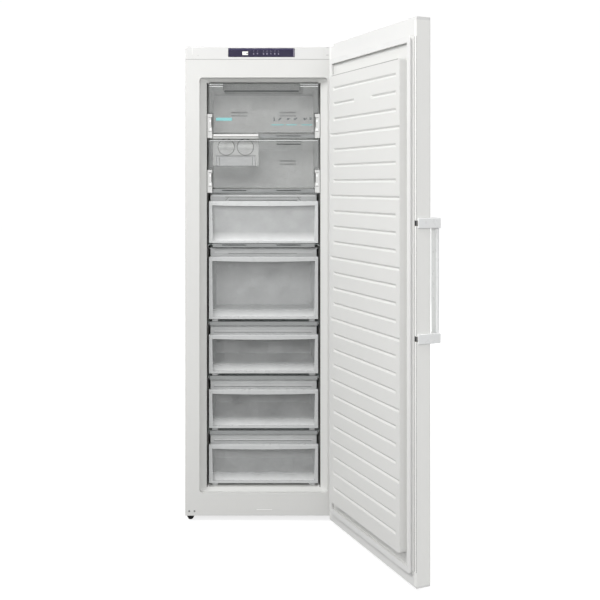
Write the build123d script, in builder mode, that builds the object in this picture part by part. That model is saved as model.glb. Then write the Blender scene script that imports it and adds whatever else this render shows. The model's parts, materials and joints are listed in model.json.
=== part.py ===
from build123d import *
import math
import os

# Upright freezer, 1.8 m tall, standing with its door open at about 112 degrees.
# Frame: +Z up, the front faces -Y, +X is the hinge side. The origin is the centre of
# the cabinet's flat underside, which the feet hold a little above the floor.

os.makedirs("parts", exist_ok=True)

# ---------------------------------------------------------------- cabinet sizes
cabinet_width = 595.0
cabinet_height = 1778.0  # underside to top, without the feet
cabinet_depth = 586.0  # without the door
foot_drop = 22.0  # underside to floor
steel = 0.8  # painted steel sheet
plate = 1.5  # base plate
plastic = 2.0  # formed and moulded walls
fit = 0.3  # clearance between pieces that only sit together
pin_fit = 0.05  # radial running fit of pins and shafts

# the opening in the front face, and the cavity behind its sloped rim
strip_height = 48.0
strip_depth = 28.0
cap_left_width = 26.5
cap_right_width = 68.5
face_side = 54.6  # steel beside the opening
face_head = 68.4  # steel between the opening and the strip
opening_bottom = 86.1
opening_half = cabinet_width / 2 - face_side
opening_top = cabinet_height - strip_height - face_head
opening_corner = 12.0
rim_straight = 16.0  # the door's raised field enters this far
rim_depth = 33.0
rim_side = 27.4
rim_foot = 11.9
rim_head = 13.6
rear_wall = 70.0
cavity_half = opening_half - rim_side
cavity_floor = opening_bottom + rim_foot
cavity_ceiling = opening_top - rim_head
cavity_depth = cabinet_depth - rear_wall

# the step over the machine bay
bay_height = 250.0
bay_depth = 194.0
step_wall = 42.0
step_rise = 46.0
bay_front = cabinet_depth - bay_depth  # from the front face to the bay's front wall
step_height = bay_height + step_rise
step_front = bay_front - step_wall

# ---------------------------------------------------------------- door sizes
door_gap = 12.0  # between the cabinet's face and the closed door
door_thickness = 52.0
hinge_side_inset = 17.5  # hinge axis in from the cabinet's side
hinge_face_inset = 28.0  # hinge axis in from the door's inner face
open_angle = 112.5
door_lip = 14.0  # steel folded back on the inner face
bottom_cap_height = 34.0
top_cap_height = 55.0
bottom_skirt = 6.0  # the part of each cap outside the skin
top_skirt = 10.0
plug_depth = 26.0
plug_slope = 2.5
plug_side = 55.5  # raised field in from the cabinet's side
plug_head = 118.0  # and down from its top
plug_bottom = 87.5

# ---------------------------------------------------------------- shared places
front = -cabinet_depth / 2
back = cabinet_depth / 2
half_width = cabinet_width / 2
strip_bottom = cabinet_height - strip_height
plug_half = half_width - plug_side
plug_top = cabinet_height - plug_head
hinge_x = half_width - hinge_side_inset
hinge_y = front - door_gap - hinge_face_inset
along = Vector(-1, 0, 0).rotate(Axis.Z, open_angle)  # hinge to free edge
inward = Vector(0, 1, 0).rotate(Axis.Z, open_angle)  # door skin to door liner
door_mid = cabinet_width / 2 - hinge_side_inset  # hinge axis to the door's middle


def upright(distance):
    """Plane facing the front, at a distance behind the cabinet's face."""
    return Plane.XZ.offset(-(front + distance))


def level(height):
    """Horizontal plane at a height over the underside."""
    return Plane.XY.offset(height)


def sideways(x):
    """Plane facing +X, with the cabinet's depth along its first axis."""
    return Plane.YZ.offset(x)


def door_face(depth):
    """Plane on the door facing inward, at a depth from the hinge axis."""
    return Plane(origin=Vector(hinge_x, hinge_y, 0) + inward * depth, x_dir=along, z_dir=inward)


def door_section(height):
    """Horizontal plane on the door: hinge to free edge, then outward."""
    return Plane(origin=(hinge_x, hinge_y, height), x_dir=along, z_dir=(0, 0, 1))


def rectangle(x0, x1, z0, z1, mode=Mode.ADD):
    """Rectangle between two limits on each axis of the sketch."""
    with Locations(((x0 + x1) / 2, (z0 + z1) / 2)):
        Rectangle(x1 - x0, z1 - z0, mode=mode)


def rounded(x0, x1, z0, z1, radius, mode=Mode.ADD):
    """The same rectangle with rounded corners."""
    with Locations(((x0 + x1) / 2, (z0 + z1) / 2)):
        RectangleRounded(x1 - x0, z1 - z0, radius, mode=mode)


def save(solid, label):
    """Name a finished piece and write it to its own file."""
    solid.label = label
    export_step(solid, f"parts/{label}.step")


# ---------------------------------------------------------------- cabinet wrap
wrap_return = 18.0
edge_radius = 3.0
plug_hole_radius = 3.6
screw_radius = 2.5
hole_insets = (35.5, 15.5)
hole_z = 17.0
spare_holes = [(inset - half_width, hole_z) for inset in hole_insets]
screw_holes = [(half_width - inset, hole_z) for inset in hole_insets]

with BuildPart() as cabinet_wrap:
    with BuildSketch(upright(steel)):
        rounded(-half_width, half_width, -wrap_return, cabinet_height, edge_radius)
        rounded(
            -half_width + steel, half_width - steel, -wrap_return, cabinet_height - steel,
            edge_radius - steel, mode=Mode.SUBTRACT,
        )
        rectangle(-half_width, half_width, -wrap_return, 0, mode=Mode.SUBTRACT)
    extrude(amount=-(cabinet_depth - 2 * steel))
    # folded returns behind the front frame and under the back panel
    for start in (steel, cabinet_depth - 2 * steel):
        with BuildSketch(upright(start)):
            rounded(-half_width, half_width, -wrap_return, cabinet_height, edge_radius)
            rectangle(
                -half_width + wrap_return, half_width - wrap_return,
                -wrap_return, cabinet_height - wrap_return, mode=Mode.SUBTRACT,
            )
            rectangle(-half_width, half_width, -wrap_return, 0, mode=Mode.SUBTRACT)
        extrude(amount=-steel)
    # the plastic strip takes the place of the wrap's front corner at the top
    with BuildSketch(upright(0)):
        rectangle(-cabinet_width, cabinet_width, strip_bottom, 2 * cabinet_height)
    extrude(amount=-strip_depth, mode=Mode.SUBTRACT)
    # screws and plugs of the lower hinge go through the front return
    with BuildSketch(upright(0)):
        with Locations(*spare_holes, *screw_holes):
            Circle(plug_hole_radius)
    extrude(amount=-2 * plastic, mode=Mode.SUBTRACT)
save(cabinet_wrap.part, "cabinet_wrap")

# ---------------------------------------------------------------- front frame
pull_lip = 57.0
pull_lip_height = 27.3

with BuildPart() as front_frame:
    with BuildSketch(upright(0)):
        rectangle(-half_width, half_width, 0, strip_bottom)
        rounded(-opening_half, opening_half, opening_bottom, opening_top, opening_corner, mode=Mode.SUBTRACT)
        with Locations(*spare_holes):
            Circle(plug_hole_radius, mode=Mode.SUBTRACT)
        with Locations(*screw_holes):
            Circle(screw_radius + pin_fit, mode=Mode.SUBTRACT)
    extrude(amount=-steel)
    # small pressed lip in the middle of the foot of the frame
    with BuildSketch(upright(0)):
        rounded(-pull_lip / 2, pull_lip / 2, pull_lip_height - steel, pull_lip_height + steel, steel / 2)
    extrude(amount=steel)
save(front_frame.part, "front_frame")

with BuildPart() as hole_plugs:
    with BuildSketch(upright(-steel / 2)):
        with Locations(*spare_holes):
            Circle(plug_hole_radius - pin_fit)
    extrude(amount=-(steel + plastic))
save(hole_plugs.part, "hole_plugs")

# ---------------------------------------------------------------- inner liner
duct_depth = 68.0  # rear duct between the cavity's back and its cover
cover_gap = 8.0  # shelves and drawers stop this far before that cover
ledge = 4.0  # shelf ledges stand this far out of the side walls
ledge_start = 60.0
cover_start = cavity_depth - duct_depth
glass_end = cover_start - cover_gap
ledge_end = glass_end - 10.0
flange_overlap = 18.0  # liner flange behind the front frame
flange_half = opening_half + flange_overlap
flange_bottom = opening_bottom - flange_overlap
flange_top = opening_top + flange_overlap


def cavity(wall):
    """Solid of the cavity, grown by a wall: rim, box and step over the bay."""
    with BuildPart() as hollow:
        with BuildSketch(sideways(-cavity_half - wall)):
            with BuildLine():
                Polyline(
                    (front + rim_depth, cavity_floor - wall),
                    (front + step_front + wall, cavity_floor - wall),
                    (front + step_front + wall, step_height - wall),
                    (front + cavity_depth + wall, step_height - wall),
                    (front + cavity_depth + wall, cavity_ceiling + wall),
                    (front + rim_depth, cavity_ceiling + wall),
                    close=True,
                )
            make_face()
        extrude(amount=2 * (cavity_half + wall))
        corners = hollow.edges().filter_by(Axis.Y).group_by(Axis.Z)
        fillet(corners[0] + corners[-1], radius=opening_corner)
        # straight mouth that takes the door's raised field, then the slope
        rim_start = 0 if wall == 0 else steel
        with BuildSketch(upright(rim_start)):
            rounded(
                -opening_half - wall, opening_half + wall,
                opening_bottom - wall, opening_top + wall, opening_corner,
            )
        extrude(amount=-(rim_straight - rim_start))
        with BuildSketch(upright(rim_straight)):
            rounded(
                -opening_half - wall, opening_half + wall,
                opening_bottom - wall, opening_top + wall, opening_corner,
            )
        with BuildSketch(upright(rim_depth)):
            rounded(
                -cavity_half - wall, cavity_half + wall,
                cavity_floor - wall, cavity_ceiling + wall, opening_corner,
            )
        loft()
    return hollow.part


shelf_trim_height = 14.0
shelf_glass = 5.0
upper_spaces = (200.0, 209.4, 209.2)  # compartments from the ceiling down
lowest_shelf = step_height + 13.2
lower_spaces = (0.0, 210.3, 208.7)  # up from the lowest shelf; the tall drawer has the rest
shelf_tops = [cavity_ceiling - sum(upper_spaces[: count + 1]) for count in range(3)]
shelf_tops += [lowest_shelf + sum(lower_spaces[: 3 - count]) for count in range(3)]

with BuildPart() as inner_liner:
    add(cavity(plastic))
    with BuildSketch(upright(steel)):
        rounded(-flange_half, flange_half, flange_bottom, flange_top, opening_corner)
    extrude(amount=-plastic)
    add(cavity(0), mode=Mode.SUBTRACT)
    # a ledge under each glass shelf, on both sides
    for top in shelf_tops:
        glass_bottom = top - plastic - shelf_glass
        with BuildSketch(upright(ledge_start)):
            for side in (-1, 1):
                with Locations((side * (cavity_half - ledge / 2 + plastic / 4), glass_bottom - fit - ledge / 2)):
                    Rectangle(ledge + plastic / 2, ledge)
        extrude(amount=-(ledge_end - ledge_start))
save(inner_liner.part, "inner_liner")

# ---------------------------------------------------------------- base, bay and back
foot_x = half_width - 18.5
foot_y = front + 30.0
rear_foot_y = back - 40.0
pad_half = 17.0  # half the length of the raised corner pads that carry the feet
pad_open = 8.0  # the pads run out past the plate's sides
pad_rise = 3.0
foot_stud_radius = 5.0
foot_boss_radius = 9.0
rear_foot_taper = 12.0
foot_boss_height = 20.0
slot_length = 60.0
slot_width = 6.0
rear_flange = 14.0

with BuildPart() as base_plate:
    with BuildSketch(level(0)):
        rectangle(-half_width + steel, half_width - steel, front + 2 * steel, back - 2 * steel)
    extrude(amount=plate)
    # corner pads pressed upward, clear of what the cabinet is set down on
    pads = [(side, y) for side in (-1, 1) for y in (foot_y, rear_foot_y)]
    with BuildSketch(level(0)):
        for side, y in pads:
            with Locations((side * foot_x, y)):
                Rectangle(2 * (pad_half + plate), 2 * (pad_half + plate))
        rectangle(
            -half_width + steel, half_width - steel,
            front + 2 * steel, back - 2 * steel, mode=Mode.INTERSECT,
        )
    extrude(amount=pad_rise + plate)
    with BuildSketch(level(0)):
        for side, y in pads:
            with Locations((side * (foot_x + pad_open / 2), y)):
                Rectangle(2 * pad_half + pad_open, 2 * pad_half)
    extrude(amount=pad_rise, mode=Mode.SUBTRACT)
    with BuildSketch(level(pad_rise)):
        with Locations((-foot_x, foot_y), (foot_x, foot_y)):
            Circle(foot_boss_radius)
    extrude(amount=foot_boss_height - pad_rise)
    with BuildSketch(upright(cabinet_depth - 3 * steel - plate)):
        rectangle(-half_width + 2 * wrap_return, half_width - 2 * wrap_return, 0, rear_flange)
    extrude(amount=-plate)
    with Locations((-foot_x, foot_y, 0), (foot_x, foot_y, 0)):
        Hole(foot_stud_radius + pin_fit)
    # air slots in the floor of the machine bay
    with BuildSketch(level(0)):
        with Locations((0, front + bay_front + 30)):
            with GridLocations(slot_length * 1.5, slot_width * 3, 4, 2):
                Rectangle(slot_length, slot_width)
    extrude(amount=plate, mode=Mode.SUBTRACT)
save(base_plate.part, "base_plate")

with BuildPart() as bay_shroud:
    with BuildSketch(sideways(-half_width + steel + fit)):
        with BuildLine():
            Polyline(
                (front + bay_front, plate),
                (front + bay_front, bay_height + steel),
                (back - 2 * steel, bay_height + steel),
                (back - 2 * steel, bay_height),
                (front + bay_front + steel, bay_height),
                (front + bay_front + steel, plate),
                close=True,
            )
        make_face()
    extrude(amount=cabinet_width - 2 * steel - 2 * fit)
save(bay_shroud.part, "bay_shroud")

panel_bead_width = 360.0
panel_bead_pitch = 210.0
panel_beads = 6
bead_height = 60.0
bead_depth = 3.0

with BuildPart() as back_panel:
    with BuildSketch(upright(cabinet_depth - steel)):
        rectangle(-half_width, half_width, bay_height, cabinet_height)
    extrude(amount=-steel)
    # shallow stiffening beads pressed inward are left as raised fields on the outside
    with BuildSketch(upright(cabinet_depth)):
        with Locations((0, (bay_height + cabinet_height) / 2)):
            with GridLocations(1, panel_bead_pitch, 1, panel_beads):
                Rectangle(panel_bead_width, bead_height)
    extrude(amount=-bead_depth, taper=45)
    with BuildSketch(upright(cabinet_depth - steel)):
        with Locations((0, (bay_height + cabinet_height) / 2)):
            with GridLocations(1, panel_bead_pitch, 1, panel_beads):
                Rectangle(panel_bead_width - steel, bead_height - steel)
    extrude(amount=-bead_depth, taper=45, mode=Mode.SUBTRACT)
save(back_panel.part, "back_panel")

with BuildPart() as insulation_foam:
    with BuildSketch(sideways(-half_width + steel + fit)):
        with BuildLine():
            Polyline(
                (front + steel + plastic + fit, plate + fit),
                (front + bay_front - fit, plate + fit),
                (front + bay_front - fit, bay_height + steel + fit),
                (back - 2 * steel - fit, bay_height + steel + fit),
                (back - 2 * steel - fit, cabinet_height - steel - fit),
                (front + strip_depth + fit, cabinet_height - steel - fit),
                (front + strip_depth + fit, strip_bottom - fit),
                (front + steel + plastic + fit, strip_bottom - fit),
                close=True,
            )
        make_face()
    extrude(amount=cabinet_width - 2 * steel - 2 * fit)
    fillet(insulation_foam.edges().filter_by(Axis.Y).group_by(Axis.Z)[-1], radius=edge_radius)
    add(cavity(plastic + fit), mode=Mode.SUBTRACT)
    with BuildSketch(level(0)):
        with Locations((-foot_x, foot_y), (foot_x, foot_y)):
            Circle(foot_boss_radius + fit)
    extrude(amount=foot_boss_height + fit, mode=Mode.SUBTRACT)
    with BuildSketch(level(0)):
        with Locations((-foot_x, foot_y), (foot_x, foot_y)):
            pad_room = 2 * (pad_half + plate + fit)
            Rectangle(pad_room, pad_room)
    extrude(amount=pad_rise + plate + fit, mode=Mode.SUBTRACT)
save(insulation_foam.part, "insulation_foam")

# ---------------------------------------------------------------- feet
foot_radius = 14.2
foot_sole_radius = 9.0
foot_flange_top = pad_rise - 1.0
foot_flange = 14.0

for side, name in ((-1, "front_foot_left"), (1, "front_foot_right")):
    with BuildPart() as front_foot:
        # six-sided collar that a spanner turns, tapered to a round sole
        with BuildSketch(level(foot_flange_top - foot_flange)):
            with Locations((side * foot_x, foot_y)):
                RegularPolygon(foot_radius, 6)
        extrude(amount=foot_flange)
        with BuildSketch(level(-foot_drop)):
            with Locations((side * foot_x, foot_y)):
                RegularPolygon(foot_sole_radius, 6)
        with BuildSketch(level(foot_flange_top - foot_flange)):
            with Locations((side * foot_x, foot_y)):
                RegularPolygon(foot_radius, 6)
        loft(ruled=True)
        with BuildSketch(level(foot_flange_top)):
            with Locations((side * foot_x, foot_y)):
                Circle(foot_stud_radius)
        extrude(amount=foot_boss_height - pad_rise)
    save(front_foot.part, name)

with BuildPart() as rear_feet:
    with BuildSketch(level(pad_rise)):
        with Locations((-foot_x, rear_foot_y), (foot_x, rear_foot_y)):
            Circle(foot_radius)
    extrude(amount=-(foot_drop + pad_rise), taper=rear_foot_taper)
save(rear_feet.part, "rear_feet")

# ---------------------------------------------------------------- strip above the opening
window_width = 253.0
window_height = 34.0
window_x = -8.0
window_z = cabinet_height - 22.0
strip_left = -half_width + cap_left_width
strip_right = half_width - cap_right_width


def strip_shell(x0, x1, outer=0):
    """Hollow moulding between two ends; outer is the side of a closed end, or 0."""
    end = x0 if outer < 0 else x1
    with BuildPart() as shell:
        with BuildSketch(sideways(x0)):
            rectangle(front, front + strip_depth, strip_bottom + fit, cabinet_height)
            rectangle(
                front + plastic, front + strip_depth,
                strip_bottom + fit + plastic, cabinet_height - plastic, mode=Mode.SUBTRACT,
            )
        extrude(amount=x1 - x0)
        with BuildSketch(sideways(end)):
            rectangle(front, front + strip_depth, strip_bottom + fit, cabinet_height)
        extrude(amount=-outer * plastic if outer else -plastic / 2)
        near = shell.edges().sort_by_distance((end, front, cabinet_height))
        fillet(near[:3] if outer else near.filter_by(Axis.X)[:1], radius=edge_radius)
    return shell.part


with BuildPart() as control_panel:
    add(strip_shell(strip_left + fit, strip_right - fit))
    with BuildSketch(upright(0)):
        with Locations((window_x, window_z)):
            RectangleRounded(window_width, window_height, plastic)
    extrude(amount=-plastic, mode=Mode.SUBTRACT)
save(control_panel.part, "control_panel")

with BuildPart() as display_window:
    with BuildSketch(upright(plastic / 4)):
        with Locations((window_x, window_z)):
            RectangleRounded(window_width - fit, window_height - fit, plastic)
    extrude(amount=-2 * plastic)
    chamfer(display_window.faces().sort_by(Axis.Y)[0].edges(), length=plastic / 2)
save(display_window.part, "display_window")

hinge_arm = 3.0
hinge_arm_half = 8.0
arm_drop = 3.5  # top arm below the cabinet's top
arm_top = cabinet_height - arm_drop

save(strip_shell(-half_width, strip_left, -1), "left_end_cap")

with BuildPart() as hinge_cap:
    add(strip_shell(strip_right, half_width, 1))
    # slot through the front wall for the top hinge arm
    with BuildSketch(upright(0)):
        rectangle(
            hinge_x - hinge_arm_half - fit, hinge_x + hinge_arm_half + fit,
            arm_top - hinge_arm - fit, arm_top + fit,
        )
    extrude(amount=-plastic, mode=Mode.SUBTRACT)
save(hinge_cap.part, "hinge_cap")

# ---------------------------------------------------------------- hinges
hinge_pin_radius = 4.0
hinge_pin_length = 22.0
arm_nose = 9.0
top_hinge_left = strip_right + plastic + fit
bracket_x1 = half_width - 5.5
bracket_x0 = bracket_x1 - 40.0
bracket_height = 30.0
screw_head_radius = 4.5
screw_head_height = 2.0
screw_reach = 3.0  # shank behind the cabinet's face

with BuildPart() as upper_hinge:
    # arm out of the cap to the pin, and its plate inside the cap
    with BuildSketch(level(arm_top - hinge_arm)):
        rectangle(hinge_x - hinge_arm_half, hinge_x + hinge_arm_half, hinge_y, front + strip_depth - fit)
        with Locations((hinge_x, hinge_y)):
            Circle(hinge_arm_half)
        rectangle(
            top_hinge_left, hinge_x + hinge_arm_half,
            front + plastic + fit, front + strip_depth - fit,
        )
    extrude(amount=hinge_arm)
    with BuildSketch(upright(strip_depth - fit)):
        rectangle(top_hinge_left, hinge_x + hinge_arm_half, strip_bottom + plastic + 2 * fit, arm_top)
    extrude(amount=hinge_arm)
    with BuildSketch(level(arm_top)):
        with Locations((hinge_x, hinge_y)):
            Circle(hinge_pin_radius)
    extrude(amount=-(hinge_arm + hinge_pin_length))
save(upper_hinge.part, "upper_hinge")

arm_gap = 0.5  # under the door
with BuildPart() as lower_hinge:
    with BuildSketch(upright(-hinge_arm)):
        rounded(bracket_x0, bracket_x1, -arm_gap - hinge_arm, bracket_height, hinge_arm)
        with Locations(*screw_holes):
            Circle(screw_radius + pin_fit, mode=Mode.SUBTRACT)
    extrude(amount=-hinge_arm)
    with BuildSketch(level(-arm_gap)):
        rectangle(hinge_x - arm_nose, hinge_x + arm_nose, hinge_y, front)
        with Locations((hinge_x, hinge_y)):
            Circle(arm_nose)
    extrude(amount=-hinge_arm)
    with BuildSketch(level(-arm_gap - hinge_arm)):
        with Locations((hinge_x, hinge_y)):
            Circle(hinge_pin_radius)
    extrude(amount=hinge_arm + arm_gap + hinge_pin_length)
save(lower_hinge.part, "lower_hinge")

with BuildPart() as hinge_screws:
    with BuildSketch(upright(-hinge_arm)):
        with Locations(*screw_holes):
            Circle(screw_head_radius)
    extrude(amount=screw_head_height)
    with BuildSketch(upright(-hinge_arm)):
        with Locations(*screw_holes):
            Circle(screw_radius)
    extrude(amount=-(hinge_arm + screw_reach))
save(hinge_screws.part, "hinge_screws")

# ---------------------------------------------------------------- door skin, caps and foam
skin_radius = 5.0
door_start = -hinge_side_inset
door_end = cabinet_width - hinge_side_inset
outer_face = door_thickness - hinge_face_inset
catch_slot = 17.0  # opening in the free edge beside each handle bracket
handle_heights = (774.2, 1134.8)


def door_block(inset, bottom, top):
    """Solid door body between two heights, drawn in from its outline."""
    with BuildPart() as block:
        with BuildSketch(door_section(bottom)) as outline:
            rectangle(door_start + inset, door_end - inset, -hinge_face_inset + inset, outer_face - inset)
            fillet(outline.vertices().group_by(Axis.Y)[-1], radius=skin_radius - inset)
        extrude(amount=top - bottom)
    return block.part


with BuildPart() as door_panel:
    add(door_block(0, bottom_skirt, cabinet_height - top_skirt))
    add(door_block(steel, bottom_skirt, cabinet_height - top_skirt), mode=Mode.SUBTRACT)
    with BuildSketch(door_face(hinge_face_inset)):
        rectangle(door_start + door_lip, door_end - door_lip, bottom_skirt, cabinet_height - top_skirt)
    extrude(amount=-steel, mode=Mode.SUBTRACT)
    with BuildSketch(door_face(hinge_face_inset)):
        for height in handle_heights:
            rectangle(
                door_end - door_lip + steel, door_end,
                height - catch_slot / 2, height + catch_slot / 2,
            )
    extrude(amount=-2 * plastic, mode=Mode.SUBTRACT)
save(door_panel.part, "door_panel")

bush_radius = hinge_pin_radius + pin_fit
arm_pocket = arm_drop + hinge_arm + 1.5  # depth of the recess that the top arm turns in
pocket_reach = 16.0

with BuildPart() as door_bottom_cap:
    add(door_block(0, 0, bottom_skirt))
    add(door_block(steel + fit, bottom_skirt, bottom_cap_height))
    with BuildSketch(door_face(hinge_face_inset)):
        rectangle(door_start + door_lip + fit, door_end - door_lip - fit, bottom_skirt, bottom_cap_height)
    extrude(amount=-2 * steel)
    with BuildSketch(level(0)):
        with Locations((hinge_x, hinge_y)):
            Circle(bush_radius)
    extrude(amount=hinge_pin_length + plastic, mode=Mode.SUBTRACT)
save(door_bottom_cap.part, "door_bottom_cap")

with BuildPart() as door_top_cap:
    add(door_block(0, cabinet_height - top_skirt, cabinet_height))
    add(door_block(steel + fit, cabinet_height - top_cap_height, cabinet_height - top_skirt))
    with BuildSketch(door_face(hinge_face_inset)):
        rectangle(
            door_start + door_lip + fit, door_end - door_lip - fit,
            cabinet_height - top_cap_height, cabinet_height - top_skirt,
        )
    extrude(amount=-2 * steel)
    with BuildSketch(door_section(cabinet_height - arm_pocket)):
        rectangle(door_start, pocket_reach, -hinge_face_inset, outer_face - plastic)
    extrude(amount=arm_pocket, mode=Mode.SUBTRACT)
    with BuildSketch(level(cabinet_height - arm_pocket)):
        with Locations((hinge_x, hinge_y)):
            Circle(bush_radius)
    extrude(amount=-hinge_pin_length, mode=Mode.SUBTRACT)
save(door_top_cap.part, "door_top_cap")

# ---------------------------------------------------------------- door liner
liner_bottom = bottom_cap_height + fit
liner_top = cabinet_height - top_cap_height - fit
groove_depth = 4.0
groove_height = 13.0
groove_root = 1.0
groove_pitch = 56.05
groove_first = plug_top - 55.0
groove_count = int((groove_first - plug_bottom - 40.0) / groove_pitch) + 1
groove_half = plug_half - 25.0
divider_every = 4
crest_gap = 120.0  # plain field in the middle of the second groove
plug_taper = math.degrees(math.atan(plug_slope / plug_depth))
groove_taper = math.degrees(math.atan((groove_height - groove_root) / 2 / groove_depth))


def groove_places():
    """Middle, height and length of every groove in the door liner."""
    places = []
    for number in range(groove_count):
        height = groove_first - number * groove_pitch
        if number % divider_every == divider_every - 1:
            places.append((door_mid, height, 2 * (plug_half - plug_slope)))
        elif number == 1:
            piece = groove_half - crest_gap / 2
            for side in (-1, 1):
                places.append((door_mid + side * (groove_half + crest_gap / 2) / 2, height, piece))
        else:
            places.append((door_mid, height, 2 * groove_half))
    return places


def door_plug(wall):
    """Raised field of the door liner with its grooves, drawn in by a wall."""
    with BuildPart() as plug:
        with BuildSketch(door_face(hinge_face_inset - wall)):
            rounded(
                door_mid - plug_half + wall, door_mid + plug_half - wall,
                plug_bottom + wall, plug_top - wall, opening_corner,
            )
        extrude(amount=plug_depth, taper=plug_taper)
        # each groove is cut from its narrow root up to the face
        with BuildSketch(door_face(hinge_face_inset - wall + plug_depth - groove_depth)):
            for middle, height, length in groove_places():
                with Locations((middle, height)):
                    Rectangle(length - groove_height + 2 * wall, groove_root + 2 * wall)
        extrude(amount=groove_depth, taper=-groove_taper, mode=Mode.SUBTRACT)
    return plug.part


with BuildPart() as door_liner:
    with BuildSketch(door_face(hinge_face_inset - plastic)):
        rectangle(door_start + door_lip + fit, door_end - door_lip - fit, liner_bottom, liner_top)
    extrude(amount=plastic)
    add(door_plug(0))
    add(door_plug(plastic), mode=Mode.SUBTRACT)
save(door_liner.part, "door_liner")

with BuildPart() as door_foam:
    with BuildSketch(door_section(liner_bottom)) as core:
        rectangle(
            door_start + steel + fit, door_end - steel - fit,
            -hinge_face_inset + plastic + fit, outer_face - steel - fit,
        )
        fillet(core.vertices().group_by(Axis.Y)[-1], radius=skin_radius - steel)
    extrude(amount=liner_top - liner_bottom)
    # the filling of the raised field ends behind the grooves
    with BuildSketch(door_face(hinge_face_inset - plastic - fit)):
        rectangle(
            door_mid - plug_half + opening_corner, door_mid + plug_half - opening_corner,
            plug_bottom + opening_corner, plug_top - opening_corner,
        )
    extrude(amount=plug_depth - groove_depth)
save(door_foam.part, "door_foam")

# ---------------------------------------------------------------- door gasket
gasket_outer = half_width - 19.5
gasket_width = 21.0
gasket_bottom = 36.0
gasket_top = cabinet_height - 56.0
gasket_clearance = 0.7  # left between the seal and the closed cabinet
gasket_layers = ((0.0, 3.5, 3.0), (3.5, 7.5, 6.5), (7.5, door_gap - gasket_clearance, 1.0))

with BuildPart() as door_gasket:
    # foot in the liner, narrow bellows, and the wide magnet strip
    for start, end, inset in gasket_layers:
        with BuildSketch(door_face(hinge_face_inset + start)):
            rounded(
                door_mid - gasket_outer + inset, door_mid + gasket_outer - inset,
                gasket_bottom + inset, gasket_top - inset, opening_corner,
            )
            rectangle(
                door_mid - gasket_outer + gasket_width - inset, door_mid + gasket_outer - gasket_width + inset,
                gasket_bottom + gasket_width - inset, gasket_top - gasket_width + inset,
                mode=Mode.SUBTRACT,
            )
        extrude(amount=end - start)
save(door_gasket.part, "door_gasket")

# ---------------------------------------------------------------- handle
handle_reach = 32.0  # from the door's outer face to the outside of the bar
bar_thickness = 11.0
bar_width = 32.0
bracket_thickness = 7.0
bracket_span = 32.0
bracket_start = 3.4  # from the door's inner face
bracket_rounding = 2.5

with BuildPart() as handle_brackets:
    for height in handle_heights:
        with BuildSketch(door_section(height - bracket_span / 2)):
            rectangle(
                door_end, door_end + bracket_thickness,
                -hinge_face_inset + bracket_start, outer_face + handle_reach,
            )
            rectangle(
                door_end - bar_width, door_end + bracket_thickness,
                outer_face + handle_reach - bar_thickness, outer_face + handle_reach,
            )
        extrude(amount=bracket_span)
    fillet(handle_brackets.edges().filter_by(Plane.XY), radius=bracket_rounding)
save(handle_brackets.part, "handle_brackets")

with BuildPart() as handle_bar:
    with BuildSketch(door_section(handle_heights[0] + bracket_span / 2)):
        rounded(
            door_end - bar_width + fit, door_end + fit,
            outer_face + handle_reach - bar_thickness + fit, outer_face + handle_reach - fit,
            bar_thickness / 3,
        )
    extrude(amount=handle_heights[1] - handle_heights[0] - bracket_span)
save(handle_bar.part, "handle_bar")

# ---------------------------------------------------------------- shelves
trim_half = cavity_half - 20.0
trim_front = 36.0
trim_depth = 22.0
lower_trim_front = 44.0
glass_half = cavity_half - 2 * fit
vent_slot = 93.0
vent_slot_places = (-113.0, 96.0)
vent_slot_height = 4.0
vent_slot_drop = 5.5  # slot's middle below the trim's top
vent_notch = 6.0  # the glass stands back behind each slot


def shelf_trim(top, half, start, slotted):
    """Channel that grips the front edge of a glass shelf, with two air slots."""
    with BuildPart() as trim:
        with BuildSketch(sideways(-half)):
            rectangle(front + start, front + start + trim_depth, top - shelf_trim_height, top)
            rectangle(
                front + start + plastic, front + start + trim_depth,
                top - plastic - shelf_glass, top - plastic, mode=Mode.SUBTRACT,
            )
            rectangle(
                front + start + plastic, front + start + trim_depth,
                top - shelf_trim_height, top - 2 * plastic - shelf_glass, mode=Mode.SUBTRACT,
            )
        extrude(amount=2 * half)
        if slotted:
            with BuildSketch(upright(start)):
                with Locations(*[(x, top - vent_slot_drop) for x in vent_slot_places]):
                    Rectangle(vent_slot, vent_slot_height)
            extrude(amount=-plastic, mode=Mode.SUBTRACT)
    return trim.part


def glass(top):
    """Glass plate from inside its trim to the rear edge of its ledges."""
    with BuildPart() as pane:
        with BuildSketch(level(top - plastic - shelf_glass)):
            rectangle(-trim_half, trim_half, front + trim_front + plastic, front + ledge_start)
            rectangle(-glass_half, glass_half, front + ledge_start, front + glass_end)
            for x in vent_slot_places:
                rectangle(
                    x - vent_slot / 2, x + vent_slot / 2,
                    front + trim_front, front + trim_front + plastic + vent_notch, mode=Mode.SUBTRACT,
                )
        extrude(amount=shelf_glass)
    return pane.part


for number in (1, 2, 3):
    save(shelf_trim(shelf_tops[number - 1], trim_half, trim_front, True), f"shelf_trim_{number}")
for number in (1, 2):
    save(glass(shelf_tops[number - 1]), f"glass_shelf_{number}")

lower_half = cavity_half - 2 * ledge
with BuildPart() as lower_shelf_trims:
    for top in shelf_tops[3:]:
        add(shelf_trim(top, lower_half, lower_trim_front, False))
save(lower_shelf_trims.part, "lower_shelf_trims")

with BuildPart() as lower_glass_shelves:
    add(glass(shelf_tops[2]))
    for top in shelf_tops[3:]:
        with BuildSketch(level(top - plastic - shelf_glass)):
            rectangle(
                -lower_half, lower_half,
                front + lower_trim_front + plastic, front + lower_trim_front + trim_depth,
            )
            rectangle(
                -glass_half, glass_half,
                front + lower_trim_front + trim_depth, front + glass_end,
            )
        extrude(amount=shelf_glass)
save(lower_glass_shelves.part, "lower_glass_shelves")

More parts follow.
